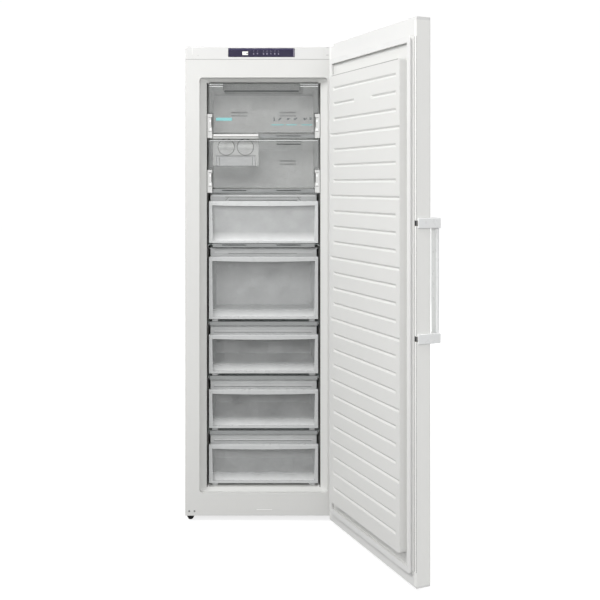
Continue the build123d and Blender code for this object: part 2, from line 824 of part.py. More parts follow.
# ---------------------------------------------------------------- drawers
drawer_front_start = 42.0
drawer_front_thickness = 12.0
drawer_half = cavity_half - ledge - 1.9
tub_half = drawer_half - 3.6
tub_back = glass_end - 10.0
low_tub_back = step_front - 10.0
tub_corner = 8.0
column = 15.0
column_taper = 3.0
band = 16.0
bottom_rail = 8.0
grip_rise = 31.0  # the tub stands this far over the front's white band
grip_depth = 26.0  # finger room behind the band
band_sag = 3.0
carriers = (*shelf_tops[2:], cavity_floor)
headrooms = (48.6, 62.2, 60.5, 62.1, 63.0)  # white band to the top of the shelf above
front_heights = [
    above - carrier - headroom
    for above, carrier, headroom in zip(shelf_tops[1:], carriers, headrooms)
]
runner_heights = (1.5, 10.5, 10.5, 10.5, 10.5)
tub_backs = (tub_back, tub_back, tub_back, tub_back, low_tub_back)
runner_width = 22.0
runner_inner = tub_half - tub_corner - runner_width


def drawer_tub(bottom, band_top, rear, runner):
    """Open tub with a stepped front that leaves finger room behind the white band."""
    wall_front = front + drawer_front_start + drawer_front_thickness
    grip_back = wall_front + grip_depth
    with BuildPart() as tub:
        with BuildSketch(sideways(-tub_half)):
            with BuildLine():
                Polyline(
                    (wall_front, bottom),
                    (front + rear, bottom),
                    (front + rear, band_top + grip_rise),
                    (grip_back, band_top + grip_rise),
                    (grip_back, band_top - band),
                    (wall_front, band_top - band),
                    close=True,
                )
            make_face()
        extrude(amount=2 * tub_half)
        fillet(tub.edges().filter_by(Axis.Z).group_by(Axis.Y)[-1], radius=tub_corner)
        offset(amount=-plastic, openings=tub.faces().sort_by(Axis.Z)[-1])
        # rolled rim on the sides and the back
        with BuildSketch(level(band_top + grip_rise - plastic)):
            rectangle(-drawer_half, drawer_half, grip_back, front + rear + plastic)
            rectangle(
                -tub_half + plastic / 2, tub_half - plastic / 2,
                grip_back + plastic / 2, front + rear - plastic / 2, mode=Mode.SUBTRACT,
            )
        extrude(amount=plastic)
        # two runners under the floor
        with BuildSketch(level(bottom - runner)):
            for side in (-1, 1):
                rectangle(
                    *sorted((side * runner_inner, side * (runner_inner + runner_width))),
                    wall_front + plastic / 2, front + rear - tub_corner,
                )
        extrude(amount=runner)
    return tub.part


def drawer_front(bottom, band_top):
    """White frame: two columns, a bowed band and a bottom rail round a window."""
    with BuildPart() as frame:
        with BuildSketch(upright(drawer_front_start)):
            rectangle(-drawer_half, drawer_half, bottom, band_top)
        extrude(amount=-drawer_front_thickness)
        with BuildSketch(upright(drawer_front_start)):
            with BuildLine():
                Polyline(
                    (-drawer_half + column - column_taper, band_top - band),
                    (-drawer_half + column, bottom + bottom_rail),
                    (drawer_half - column, bottom + bottom_rail),
                    (drawer_half - column + column_taper, band_top - band),
                )
                ThreePointArc(
                    (drawer_half - column + column_taper, band_top - band),
                    (0, band_top - band - band_sag),
                    (-drawer_half + column - column_taper, band_top - band),
                )
            make_face()
        extrude(amount=-drawer_front_thickness, mode=Mode.SUBTRACT)
        fillet(frame.edges().filter_by(Axis.X).group_by(Axis.Z)[-1].sort_by(Axis.Y)[0], radius=band / 4)
    return frame.part


for number in range(len(carriers)):
    bottom = carriers[number] + fit + runner_heights[number]
    band_top = bottom + front_heights[number]
    tub = drawer_tub(bottom, band_top, tub_backs[number], runner_heights[number])
    save(tub, f"drawer_tub_{number + 1}")
    save(drawer_front(bottom, band_top), f"drawer_front_{number + 1}")

# ---------------------------------------------------------------- flaps and their brackets
flap_half = cavity_half - 4.5
flap_start = 34.0
flap_panel = 2.5
flap_rim = 10.0
flap_rim_width = 3.0
flap_notch = trim_half + 0.8
pivot_rise = 5.0  # flap's lower edge to its hinge axis
pivot_back = 40.0
flap_pin_radius = 3.0
flap_pin_length = 8.0
flap_rise = 4.5  # flap over its shelf
flap_bottoms = (shelf_tops[0] + flap_rise, shelf_tops[1] + flap_rise)
flap_tops = (cavity_ceiling - 4.0, shelf_tops[0] - 20.0)
bracket_rises = (78.0, 72.9)
bracket_tops = (shelf_tops[0] + bracket_rises[0], shelf_tops[1] + bracket_rises[1])
notch_gap = 2.0
scoop_half = flap_half - 62.0
scoop_height = 38.0
bracket_start_y = 30.0
bracket_depth = 20.0
bracket_foot = 12.0


def flap(bottom, top, notch_top):
    """Clear flap with a rim, a finger scoop at its top and a pin at each lower corner."""

    def outline(inset):
        return [
            (-flap_notch + inset, bottom + inset),
            (flap_notch - inset, bottom + inset),
            (flap_notch - inset, notch_top + inset),
            (flap_half - inset, notch_top + inset),
            (flap_half - inset, top - inset),
            (-flap_half + inset, top - inset),
            (-flap_half + inset, notch_top + inset),
            (-flap_notch + inset, notch_top + inset),
        ]

    with BuildPart() as leaf:
        with BuildSketch(upright(flap_start)):
            with BuildLine():
                Polyline(*outline(0), close=True)
            make_face()
        extrude(amount=-flap_rim)
        with BuildSketch(upright(flap_start + flap_panel)):
            with BuildLine():
                Polyline(*outline(flap_rim_width), close=True)
            make_face()
        extrude(amount=-(flap_rim - flap_panel), mode=Mode.SUBTRACT)
        # scoop: its walls first, then the hollow open to the front and the top
        with BuildSketch(upright(flap_start)):
            rectangle(
                -scoop_half - plastic, scoop_half + plastic,
                top - scoop_height - plastic, top,
            )
        extrude(amount=-flap_rim)
        with BuildSketch(upright(flap_start)):
            rectangle(-scoop_half, scoop_half, top - scoop_height, top)
        extrude(amount=-(flap_rim - plastic), mode=Mode.SUBTRACT)
        for side in (-1, 1):
            with BuildSketch(Plane.YZ.offset(side * (flap_notch - flap_rim_width / 2))):
                with Locations((front + pivot_back, bottom + pivot_rise)):
                    Circle(flap_pin_radius)
            extrude(amount=side * (flap_pin_length + flap_rim_width / 2))
    return leaf.part


with BuildPart() as flap_brackets:
    for number in (0, 1):
        foot = shelf_tops[number] - shelf_trim_height
        pivot = flap_bottoms[number] + pivot_rise
        for side in (-1, 1):
            # post against the liner's wall with a wider head, foot and pin boss
            with BuildSketch(Plane.XZ.offset(-(front + bracket_start_y))):
                inner = side * (flap_notch + 2 * fit)
                waist = side * (flap_notch + 2 * plastic)
                outer = side * (cavity_half - fit)
                with BuildLine():
                    Polyline(
                        (outer, foot), (inner, foot), (inner, pivot + bracket_foot),
                        (waist, pivot + 1.5 * bracket_foot), (waist, bracket_tops[number] - bracket_foot),
                        (inner, bracket_tops[number] - bracket_foot), (inner, bracket_tops[number]),
                        (outer, bracket_tops[number]), close=True,
                    )
                make_face()
            extrude(amount=-bracket_depth)
            with BuildSketch(Plane.YZ.offset(side * flap_notch)):
                with Locations((front + pivot_back, pivot)):
                    Circle(flap_pin_radius + pin_fit)
            extrude(amount=side * (flap_pin_length + plastic), mode=Mode.SUBTRACT)
save(flap_brackets.part, "flap_brackets")

for number, name in ((0, "flap_upper"), (1, "flap_lower")):
    save(flap(flap_bottoms[number], flap_tops[number], bracket_tops[number] + notch_gap), name)

# ---------------------------------------------------------------- ice maker
ice_inset = 20.9
ice_width = 175.5
ice_face_drop = 80.5  # face's lower edge below the shelf's top
ice_drop = 120.0  # and that of the bin's ears
ice_left = ice_inset - cavity_half
ice_right = ice_left + ice_width
ice_front = 46.5
ice_back = 216.5
ice_wall = 2.5
ice_top = shelf_tops[0] - shelf_trim_height - fit
ice_face_bottom = shelf_tops[0] - ice_face_drop
ice_foot = shelf_tops[0] - ice_drop
knob_spacing = 73.5
knob_middle = (ice_left + ice_right) / 2
knob_drop = 48.2
knob_z = shelf_tops[0] - knob_drop
knob_radius = 30.4
knob_ring = 0.8
grip_bar = 12.0
journal_radius = 8.0
tail_radius = 5.0
bearing_start = 55.0
lip_start = 29.5
lip_depth = 4.0
lip_height = 8.0
ear_width = 11.5
bin_top = ice_face_bottom - 3.5
tray_half = 26.0
tray_drop = 20.0
tray_rise = 4.0
tray_cells = 6
cell_wall = 1.5
knob_x = (knob_middle - knob_spacing / 2, knob_middle + knob_spacing / 2)

with BuildPart() as ice_maker_frame:
    # front face with two round openings, bearing wall, rear wall and side walls
    with BuildSketch(upright(ice_front)):
        rectangle(ice_left, ice_right, ice_face_bottom, ice_top)
        with Locations(*[(x, knob_z) for x in knob_x]):
            Circle(knob_radius + knob_ring, mode=Mode.SUBTRACT)
    extrude(amount=-ice_wall)
    for start, radius in ((bearing_start, journal_radius), (ice_back - ice_wall, tail_radius)):
        with BuildSketch(upright(start)):
            rectangle(ice_left, ice_right, ice_face_bottom, ice_top)
            with Locations(*[(x, knob_z) for x in knob_x]):
                Circle(radius + pin_fit, mode=Mode.SUBTRACT)
        extrude(amount=-ice_wall)
    for x in (ice_left, ice_right - ice_wall):
        with BuildSketch(sideways(x)):
            rectangle(front + ice_front, front + ice_back, ice_foot + ice_wall, ice_top)
        extrude(amount=ice_wall)
    # ears beside the bin, and the ledges that its rim slides on
    with BuildSketch(upright(ice_front)):
        rectangle(ice_left, ice_left + ear_width, ice_foot, ice_face_bottom)
        rectangle(ice_right - ear_width, ice_right, ice_foot, ice_face_bottom)
    extrude(amount=-ice_wall)
    for x in (ice_left, ice_right - ear_width / 2):
        with BuildSketch(sideways(x)):
            rectangle(
                front + ice_front, front + ice_back,
                bin_top - 2 * plastic - fit - ice_wall, bin_top - 2 * plastic - fit,
            )
        extrude(amount=ear_width / 2)
    # neck under the shelf trim and the white lip hooked over its front
    with BuildSketch(sideways(ice_left)):
        rectangle(front + lip_start, front + bearing_start, ice_top - ice_wall, ice_top)
        rectangle(front + lip_start, front + lip_start + lip_depth, ice_top - ice_wall, shelf_tops[0])
    extrude(amount=ice_right - ice_left)
    with BuildSketch(upright(lip_start)):
        rectangle(ice_left, ice_right, shelf_tops[0] - lip_height, shelf_tops[0])
    extrude(amount=ice_wall / 2)
save(ice_maker_frame.part, "ice_maker_frame")

with BuildPart() as ice_bin:
    with BuildSketch(level(ice_foot)):
        rectangle(
            ice_left + ear_width + fit, ice_right - ear_width - fit,
            front + ice_front + fit, front + ice_back - tub_corner,
        )
    extrude(amount=bin_top - ice_foot)
    fillet(ice_bin.edges().filter_by(Axis.Z), radius=plastic * 2)
    offset(amount=-plastic, openings=ice_bin.faces().sort_by(Axis.Z)[-1])
    with BuildSketch(level(bin_top - 2 * plastic)):
        for x0, x1 in (
            (ice_left + ice_wall + fit, ice_left + ear_width + 2 * fit),
            (ice_right - ear_width - 2 * fit, ice_right - ice_wall - fit),
        ):
            rectangle(x0, x1, front + ice_front + ice_wall + fit, front + ice_back - 2 * tub_corner)
    extrude(amount=plastic)
save(ice_bin.part, "ice_bin")

for x, name in zip(knob_x, ("ice_tray_left", "ice_tray_right")):
    with BuildPart() as ice_tray:
        tray_start = bearing_start + ice_wall + 1
        tray_end = ice_back - ice_wall - 1
        # knob with a raised grip bar, and its journal through the bearing wall
        with BuildSketch(upright(ice_front - 1)):
            with Locations((x, knob_z)):
                Circle(knob_radius)
        extrude(amount=-(bearing_start - ice_front))
        with BuildSketch(upright(ice_front - 1)):
            with Locations((x, knob_z)):
                Circle(knob_radius - plastic)
                Rectangle(2 * knob_radius, grip_bar, mode=Mode.SUBTRACT)
        extrude(amount=-ice_wall, mode=Mode.SUBTRACT)
        with BuildSketch(upright(bearing_start - 1)):
            with Locations((x, knob_z)):
                Circle(journal_radius)
        extrude(amount=-(ice_wall + 3))
        # tray with its cells open to the top
        with BuildSketch(upright(tray_start)):
            rectangle(x - tray_half, x + tray_half, knob_z - tray_drop, knob_z + tray_rise)
        extrude(amount=-(tray_end - tray_start))
        cell_length = (tray_end - tray_start - cell_wall * (tray_cells + 1)) / tray_cells
        cell_half = tray_half - 1.5 * cell_wall
        with BuildSketch(level(knob_z + tray_rise)):
            for row in range(tray_cells):
                start = front + tray_start + cell_wall + row * (cell_length + cell_wall)
                rectangle(x - cell_half, x - cell_wall / 2, start, start + cell_length)
                rectangle(x + cell_wall / 2, x + cell_half, start, start + cell_length)
        extrude(amount=-(tray_drop + tray_rise - 2 * cell_wall), taper=8, mode=Mode.SUBTRACT)
        with BuildSketch(upright(tray_end)):
            with Locations((x, knob_z)):
                Circle(tail_radius)
        extrude(amount=-(ice_wall + 2))
    save(ice_tray.part, name)

# ---------------------------------------------------------------- evaporator, fan and rear duct
cover_thickness = 3.0
cover_half = cavity_half - 2 * fit
cover_bottom = step_height + fit
cover_top = cavity_ceiling - 8.0
duct_slot = 70.0
duct_slot_height = 7.0
duct_slot_x = 105.0
duct_rise = 112.0  # air slots over each shelf
duct_heights = [top + duct_rise for top in (*shelf_tops[:3], *shelf_tops[4:])]
fan_z = (shelf_tops[2] + shelf_tops[3]) / 2  # behind the tall drawer
fan_radius = 52.0
fan_gap = 2.0
fan_ring = 6.0
fan_blades = 5
blade_width = 26.0
fan_hub = 16.0
fan_depth = 18.0
fan_shaft_radius = 2.5
coil_bottom = step_height + 124.0
coil_top = fan_z - fan_radius - 16.8
coil_half = cavity_half - 35.5
coil_depth = 44.0
fin_count = 9
fin_thickness = 1.2
coil_start = cover_start + cover_thickness + 8.0

with BuildPart() as evaporator_cover:
    with BuildSketch(upright(cover_start)):
        rounded(-cover_half, cover_half, cover_bottom, cover_top, opening_corner)
        for height in duct_heights:
            with Locations((0, height)):
                with GridLocations(2 * duct_slot_x, 2 * duct_slot_height, 2, 2):
                    Rectangle(duct_slot, duct_slot_height, mode=Mode.SUBTRACT)
        with Locations((0, fan_z)):
            Circle(fan_radius + fan_gap, mode=Mode.SUBTRACT)
    extrude(amount=-cover_thickness)
    # guard of rings and spokes over the fan opening
    with BuildSketch(upright(cover_start)):
        for ring in (1, 2):
            with Locations((0, fan_z)):
                Circle(fan_radius * ring / 2 + fan_gap)
                Circle(fan_radius * ring / 2 - fan_gap / 2, mode=Mode.SUBTRACT)
        with Locations((0, fan_z)):
            with PolarLocations(0, 3):
                Rectangle(2 * (fan_radius + fan_gap), fan_gap)
    extrude(amount=-cover_thickness)
save(evaporator_cover.part, "evaporator_cover")

with BuildPart() as fan_rotor:
    blade_start = cover_start + cover_thickness + fan_ring
    with BuildSketch(upright(blade_start)):
        with Locations((0, fan_z)):
            Circle(fan_hub)
    extrude(amount=-fan_depth)
    # blades pitched at an angle round the hub
    for blade in range(fan_blades):
        turn = math.radians(blade * 360 / fan_blades)
        spoke = Vector(math.cos(turn), 0, math.sin(turn))
        root = Vector(0, front + blade_start + fan_depth / 2, fan_z) + spoke * (fan_hub - 2)
        tilt = Vector(0, 1, 0).rotate(Axis((0, 0, 0), spoke), 35)
        with BuildSketch(Plane(origin=root, x_dir=tilt, z_dir=spoke)):
            Rectangle(1.2, blade_width / 1.3)
        extrude(amount=fan_radius - fan_hub - 2)
    with BuildSketch(upright(blade_start + fan_depth)):
        with Locations((0, fan_z)):
            Circle(fan_shaft_radius)
    extrude(amount=-10)
save(fan_rotor.part, "fan_rotor")

with BuildPart() as fan_motor:
    motor_start = blade_start + fan_depth + 2
    with BuildSketch(upright(motor_start)):
        with Locations((0, fan_z)):
            Circle(fan_hub)
            Circle(fan_shaft_radius + pin_fit, mode=Mode.SUBTRACT)
    extrude(amount=-(cavity_depth - fit - motor_start))
    # mounting bar on the rear wall
    with BuildSketch(upright(cavity_depth - fit - 2 * plastic)):
        with Locations((0, fan_z)):
            RectangleRounded(6 * fan_hub, fan_hub, fan_hub / 4)
            Circle(fan_shaft_radius + pin_fit, mode=Mode.SUBTRACT)
    extrude(amount=-2 * plastic)
save(fan_motor.part, "fan_motor")

tube_radius = 4.0
tube_rows = 4
tube_pitch = (coil_top - coil_bottom) / tube_rows

with BuildPart() as evaporator:
    with BuildSketch(upright(coil_start)):
        with Locations((0, (coil_bottom + coil_top) / 2)):
            with GridLocations(2 * coil_half / (fin_count - 1), 1, fin_count, 1):
                Rectangle(fin_thickness, coil_top - coil_bottom)
    extrude(amount=-coil_depth)
    with BuildSketch(sideways(-coil_half - 3 * tube_radius)):
        with Locations((front + coil_start + coil_depth / 2, (coil_bottom + coil_top) / 2)):
            with GridLocations(1, tube_pitch, 1, tube_rows):
                RegularPolygon(tube_radius, 6)
    extrude(amount=2 * (coil_half + 3 * tube_radius))
    # side plates that carry the fins on the liner's rear wall
    for side in (-1, 1):
        with BuildSketch(Plane.YZ.offset(side * (coil_half + 3 * tube_radius))):
            rectangle(
                front + coil_start, front + cavity_depth - fit,
                coil_bottom, coil_top,
            )
        extrude(amount=side * plastic)
save(evaporator.part, "evaporator")

# ---------------------------------------------------------------- machine bay
compressor_x = -60.0
compressor_inset = 100.0
compressor_y = back - compressor_inset
compressor_radius = 70.0
compressor_bottom = 24.0
compressor_body = 130.0
compressor_dome = 22.0
compressor_plate_x = 190.0
compressor_plate_y = 110.0
dome_base = compressor_bottom + compressor_body
terminal_sink = 4.0
terminal_width = 52.0
terminal_height = 60.0
terminal_depth = 34.0
terminal_bottom = compressor_bottom + 34.0
grommet_radius = 9.0
grommet_x = 85.0
grommet_y = 42.0

with BuildPart() as compressor:
    with BuildSketch(Plane.XZ.offset(-compressor_y)):
        with BuildLine():
            Polyline(
                (compressor_x, compressor_bottom),
                (compressor_x + 0.7 * compressor_radius, compressor_bottom),
                (compressor_x + compressor_radius, compressor_bottom + compressor_dome),
                (compressor_x + compressor_radius, dome_base),
                (compressor_x + 0.9 * compressor_radius, dome_base + 0.5 * compressor_dome),
                (compressor_x + 0.6 * compressor_radius, dome_base + 0.9 * compressor_dome),
                (compressor_x, dome_base + compressor_dome),
                close=True,
            )
        make_face()
    revolve(axis=Axis((compressor_x, compressor_y, 0), (0, 0, 1)))
    with BuildSketch(level(compressor_bottom - plate)):
        with Locations((compressor_x, compressor_y)):
            Rectangle(compressor_plate_x + 2 * grommet_radius, compressor_plate_y)
            with GridLocations(2 * grommet_x, 2 * grommet_y, 2, 2):
                Circle(screw_radius + 2, mode=Mode.SUBTRACT)
    extrude(amount=2 * plate)
    # terminal box on its side
    with BuildSketch(sideways(compressor_x + compressor_radius - terminal_sink)):
        rectangle(
            compressor_y - terminal_width / 2, compressor_y + terminal_width / 2,
            terminal_bottom, terminal_bottom + terminal_height,
        )
    extrude(amount=terminal_depth)
save(compressor.part, "compressor")

with BuildPart() as compressor_grommets:
    with BuildSketch(level(plate)):
        with Locations((compressor_x, compressor_y)):
            with GridLocations(2 * grommet_x, 2 * grommet_y, 2, 2):
                RegularPolygon(grommet_radius, 12)
    extrude(amount=compressor_bottom - 2 * plate)
    with BuildSketch(level(plate)):
        with Locations((compressor_x, compressor_y)):
            with GridLocations(2 * grommet_x, 2 * grommet_y, 2, 2):
                RegularPolygon(screw_radius + 2 - fit, 8)
    extrude(amount=compressor_bottom + 3 * plate)
save(compressor_grommets.part, "compressor_grommets")

drip_length = 190.0
drip_width = 130.0
drip_corner = 14.0
drip_height = 34.0
drip_bottom = compressor_bottom + compressor_body + compressor_dome + fit
with BuildPart() as drip_tray:
    with BuildSketch(level(drip_bottom)):
        with Locations((compressor_x, compressor_y)):
            RectangleRounded(drip_length, drip_width, drip_corner)
    extrude(amount=drip_height, taper=-6)
    with BuildSketch(level(drip_bottom + plastic)):
        with Locations((compressor_x, compressor_y)):
            RectangleRounded(drip_length - 2 * plastic, drip_width - 2 * plastic, drip_corner - plastic)
    extrude(amount=drip_height, taper=-6, mode=Mode.SUBTRACT)
save(drip_tray.part, "drip_tray")

pipe_radius = 3.2
pipe_rises = (60.0, 100.0)  # the two pipes over the shell's foot
pipe_reaches = (90.0, 76.5)  # and out to the side
pipe_head = 18.0  # below the bay's ceiling
pipe_run = 60.0
pipe_bend = 16.0
with BuildPart() as refrigerant_pipes:
    # suction and discharge pipes from the shell up and across the bay
    pipe_y = compressor_y
    for rise, reach in zip(pipe_rises, pipe_reaches):
        height = compressor_bottom + rise
        start = compressor_x - compressor_radius - fit
        with BuildLine():
            FilletPolyline(
                (start, pipe_y, height),
                (start - reach, pipe_y, height),
                (start - reach, pipe_y, bay_height - pipe_head),
                (start - reach, pipe_y - pipe_run, bay_height - pipe_head),
                radius=pipe_bend,
            )
        with BuildSketch(Plane(origin=(start, pipe_y, height), x_dir=(0, 1, 0), z_dir=(-1, 0, 0))):
            RegularPolygon(pipe_radius, 6)
        sweep()
save(refrigerant_pipes.part, "refrigerant_pipes")

gland_inset = 87.5
gland_x = half_width - gland_inset
gland_z = 60.0
gland_radius = 9.0
cord_radius = 4.0
louvre_rows = 7
louvre_pitch = 25.0
louvre_spacing = 100.0
louvre_length = 84.0
louvre_height = 7.0

with BuildPart() as bay_rear_cover:
    with BuildSketch(upright(cabinet_depth - steel - plastic)):
        rectangle(
            -half_width + wrap_return + fit, half_width - wrap_return - fit,
            rear_flange + fit, bay_height - steel,
        )
        with Locations((0, bay_height / 2)):
            with GridLocations(louvre_spacing, louvre_pitch, 3, louvre_rows):
                Rectangle(louvre_length, louvre_height, mode=Mode.SUBTRACT)
        with Locations((gland_x, gland_z)):
            Circle(gland_radius + fit, mode=Mode.SUBTRACT)
    extrude(amount=-plastic)
save(bay_rear_cover.part, "bay_rear_cover")

with BuildPart() as cord_gland:
    with BuildSketch(upright(cabinet_depth - steel - plastic - 4)):
        with Locations((gland_x, gland_z)):
            Circle(gland_radius)
    extrude(amount=-(plastic + 12))
    with BuildSketch(upright(cabinet_depth - steel)):
        with Locations((gland_x, gland_z)):
            Circle(gland_radius + 3)
    extrude(amount=-2)
    with BuildSketch(upright(0)):
        with Locations((gland_x, gland_z)):
            Circle(cord_radius)
    extrude(amount=-2 * cabinet_depth, mode=Mode.SUBTRACT)
save(cord_gland.part, "cord_gland")
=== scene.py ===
import json
import math

import bmesh
import bpy
from bpy.props import FloatProperty, FloatVectorProperty, PointerProperty
from mathutils import Matrix, Vector


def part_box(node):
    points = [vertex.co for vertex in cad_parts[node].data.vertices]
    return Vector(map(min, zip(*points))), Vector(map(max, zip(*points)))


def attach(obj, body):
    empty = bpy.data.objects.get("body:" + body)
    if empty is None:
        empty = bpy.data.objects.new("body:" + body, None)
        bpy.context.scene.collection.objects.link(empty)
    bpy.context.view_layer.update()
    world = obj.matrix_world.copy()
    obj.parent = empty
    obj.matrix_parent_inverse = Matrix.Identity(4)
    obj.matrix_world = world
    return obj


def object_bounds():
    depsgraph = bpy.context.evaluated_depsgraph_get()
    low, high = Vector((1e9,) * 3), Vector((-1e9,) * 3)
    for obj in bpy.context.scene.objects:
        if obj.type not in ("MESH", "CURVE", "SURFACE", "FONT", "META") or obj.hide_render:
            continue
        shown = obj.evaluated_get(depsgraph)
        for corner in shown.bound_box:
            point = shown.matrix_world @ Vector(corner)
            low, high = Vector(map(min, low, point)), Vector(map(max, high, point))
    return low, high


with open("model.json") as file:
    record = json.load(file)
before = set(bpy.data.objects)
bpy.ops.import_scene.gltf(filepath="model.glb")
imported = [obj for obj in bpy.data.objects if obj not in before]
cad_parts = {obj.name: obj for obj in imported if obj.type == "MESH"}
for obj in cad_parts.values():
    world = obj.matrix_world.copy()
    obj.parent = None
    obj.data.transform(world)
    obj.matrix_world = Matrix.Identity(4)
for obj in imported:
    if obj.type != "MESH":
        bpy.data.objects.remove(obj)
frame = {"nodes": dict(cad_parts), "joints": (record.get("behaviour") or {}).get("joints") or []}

bl_info = {
    "name": "Upright freezer dressing",
    "version": (1, 0, 0),
    "blender": (4, 5, 0),
    "location": "3D View > Sidebar > Freezer",
    "description": "Finishes and small parts for an upright freezer with an open door",
    "category": "Object",
}

CAD_BOX = [list(corner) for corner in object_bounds()]
NODES = frame["nodes"]
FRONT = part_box("front_frame")[0].y + 0.0008  # the cabinet's face, behind its small pressed lip
DOOR_ANGLE = math.radians(112.5)
MARK = 0.00015  # thickness of a thin mark: print, inlay, painted shade or painted highlight
GRIP_WALL = -0.2131  # front of the wall over a drawer's window
DOOR_PLUG, DOOR_EDGE, DOOR_CATCH = -0.054, -0.028, -0.0259  # how far outward these faces of the door lie
RIM_DEPTH, RIM_HEIGHT = (-0.268, -0.225), (0.098, 1.645)  # where the liner's rim turns in, and where painted shade is laid on the liner


def joint(name):
    """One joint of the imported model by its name."""
    return next(j for j in frame["joints"] if j["name"] == name)


HINGE = Vector(joint("door_hinge")["pos_m"])
ALONG = Vector((-math.cos(DOOR_ANGLE), -math.sin(DOOR_ANGLE), 0))
OUTWARD = Vector((math.sin(DOOR_ANGLE), -math.cos(DOOR_ANGLE), 0))
# from door coordinates (along, outward, up) to the open door's place
DOOR_PLACE = Matrix.Translation(HINGE) @ Matrix((ALONG, OUTWARD, (0, 0, 1))).transposed().to_4x4()


# ---------------------------------------------------------------- settings
def colour(name, text, default):
    return FloatVectorProperty(name=name, description=text, subtype="COLOR", min=0, max=1, default=default)


def length(name, text, default):
    return FloatProperty(name=name, description=text, unit="LENGTH", min=0, default=default)


def amount(name, text, default, **limits):
    return FloatProperty(name=name, description=text, default=default, **limits)


class FreezerFinishes(bpy.types.PropertyGroup):
    enamel: colour("Enamel", "Baked enamel of the cabinet and door", (0.665, 0.665, 0.65))
    liner: colour("Liner", "Formed plastic inside the cabinet and door", (0.645, 0.645, 0.63))
    moulding: colour("Moulding", "White plastic caps, strip and brackets", (0.675, 0.675, 0.665))
    drawer_white: colour("Drawer frames", "White frames of the drawer fronts", (0.62, 0.63, 0.63))
    drawer_grey: colour("Drawer tubs", "Translucent grey of the drawer tubs", (0.73, 0.74, 0.74))
    flap_grey: colour("Flaps", "Translucent grey of the tilting flaps", (0.64, 0.65, 0.65))
    trim_grey: colour("Shelf trims", "Grey of the shelf trims", (0.31, 0.32, 0.32))
    ice_grey: colour("Ice maker", "Pale grey of the ice maker", (0.46, 0.465, 0.452))
    mark_blue: colour("Flap marks", "Printed stripes and food shapes on the upper flap", (0.25, 0.55, 0.56))
    window_blue: colour("Window", "Dark window of the display", (0.026, 0.022, 0.052))
    gasket: colour("Gasket", "Soft seal round the door", (0.72, 0.72, 0.71))
    grip: colour("Handle", "Pale handle of the door", (0.80, 0.81, 0.81))
    zinc: colour("Zinc", "Zinc-coated sheet at the back", (0.55, 0.56, 0.57))


class FreezerDetails(bpy.types.PropertyGroup):
    glyph: length("Symbol size", "Height of a symbol on the display", 0.005)
    glass_tint: amount("Glass cover", "How much of the glass shows", 0.3, min=0, max=1)


class FreezerStage(bpy.types.PropertyGroup):
    lens: amount("Lens", "Focal length", 50.88, subtype="DISTANCE_CAMERA")
    distance: length("Distance", "Camera in front of the cabinet's face", 3.216)
    height: length("Height", "Camera over the cabinet's underside", 1.254)
    shift_x: amount("Shift across", "Lens shift of the photograph's frame", 0.0607)
    shift_y: amount("Shift up", "Lens shift of the photograph's frame", -0.1917)
    floor: colour("Floor", "Pale studio floor", (0.4, 0.4, 0.4))
    glow: amount("Floor glow", "Light that whitens the floor as it is seen", 0.75, min=0)
    sky_top: amount("Overhead", "Strength of the studio light overhead", 0.85, min=0)
    sky_low: amount("Level", "Strength of the studio light at eye level", 0.27, min=0)
    key: amount("Key", "Strength of the soft light in front", 86.0, min=0)
    back: amount("Back fill", "Strength of the soft light behind", 150.0, min=0)
    fill: amount("Side fill", "Strength of the soft light on the left", 74.0, min=0)


# ---------------------------------------------------------------- shader maths
class Wire:
    """A value in a shader; arithmetic on it adds the nodes that do the sum."""

    def __init__(self, finish, socket):
        self.finish, self.socket = finish, socket

    def sum(self, operation, *values):
        node = self.finish.add("ShaderNodeMath", {"operation": operation}, dict(enumerate(values)))
        return Wire(self.finish, node.outputs[0])

    def __add__(self, other):
        return self.sum("ADD", self, other)

    def __sub__(self, other):
        return self.sum("SUBTRACT", self, other)

    def __mul__(self, other):
        return self.sum("MULTIPLY", self, other)

    def __truediv__(self, other):
        return self.sum("DIVIDE", self, other)

    def __gt__(self, other):
        return self.sum("GREATER_THAN", self, other)

    def __lt__(self, other):
        return self.sum("LESS_THAN", self, other)

    def __abs__(self):
        return self.sum("ABSOLUTE", self)


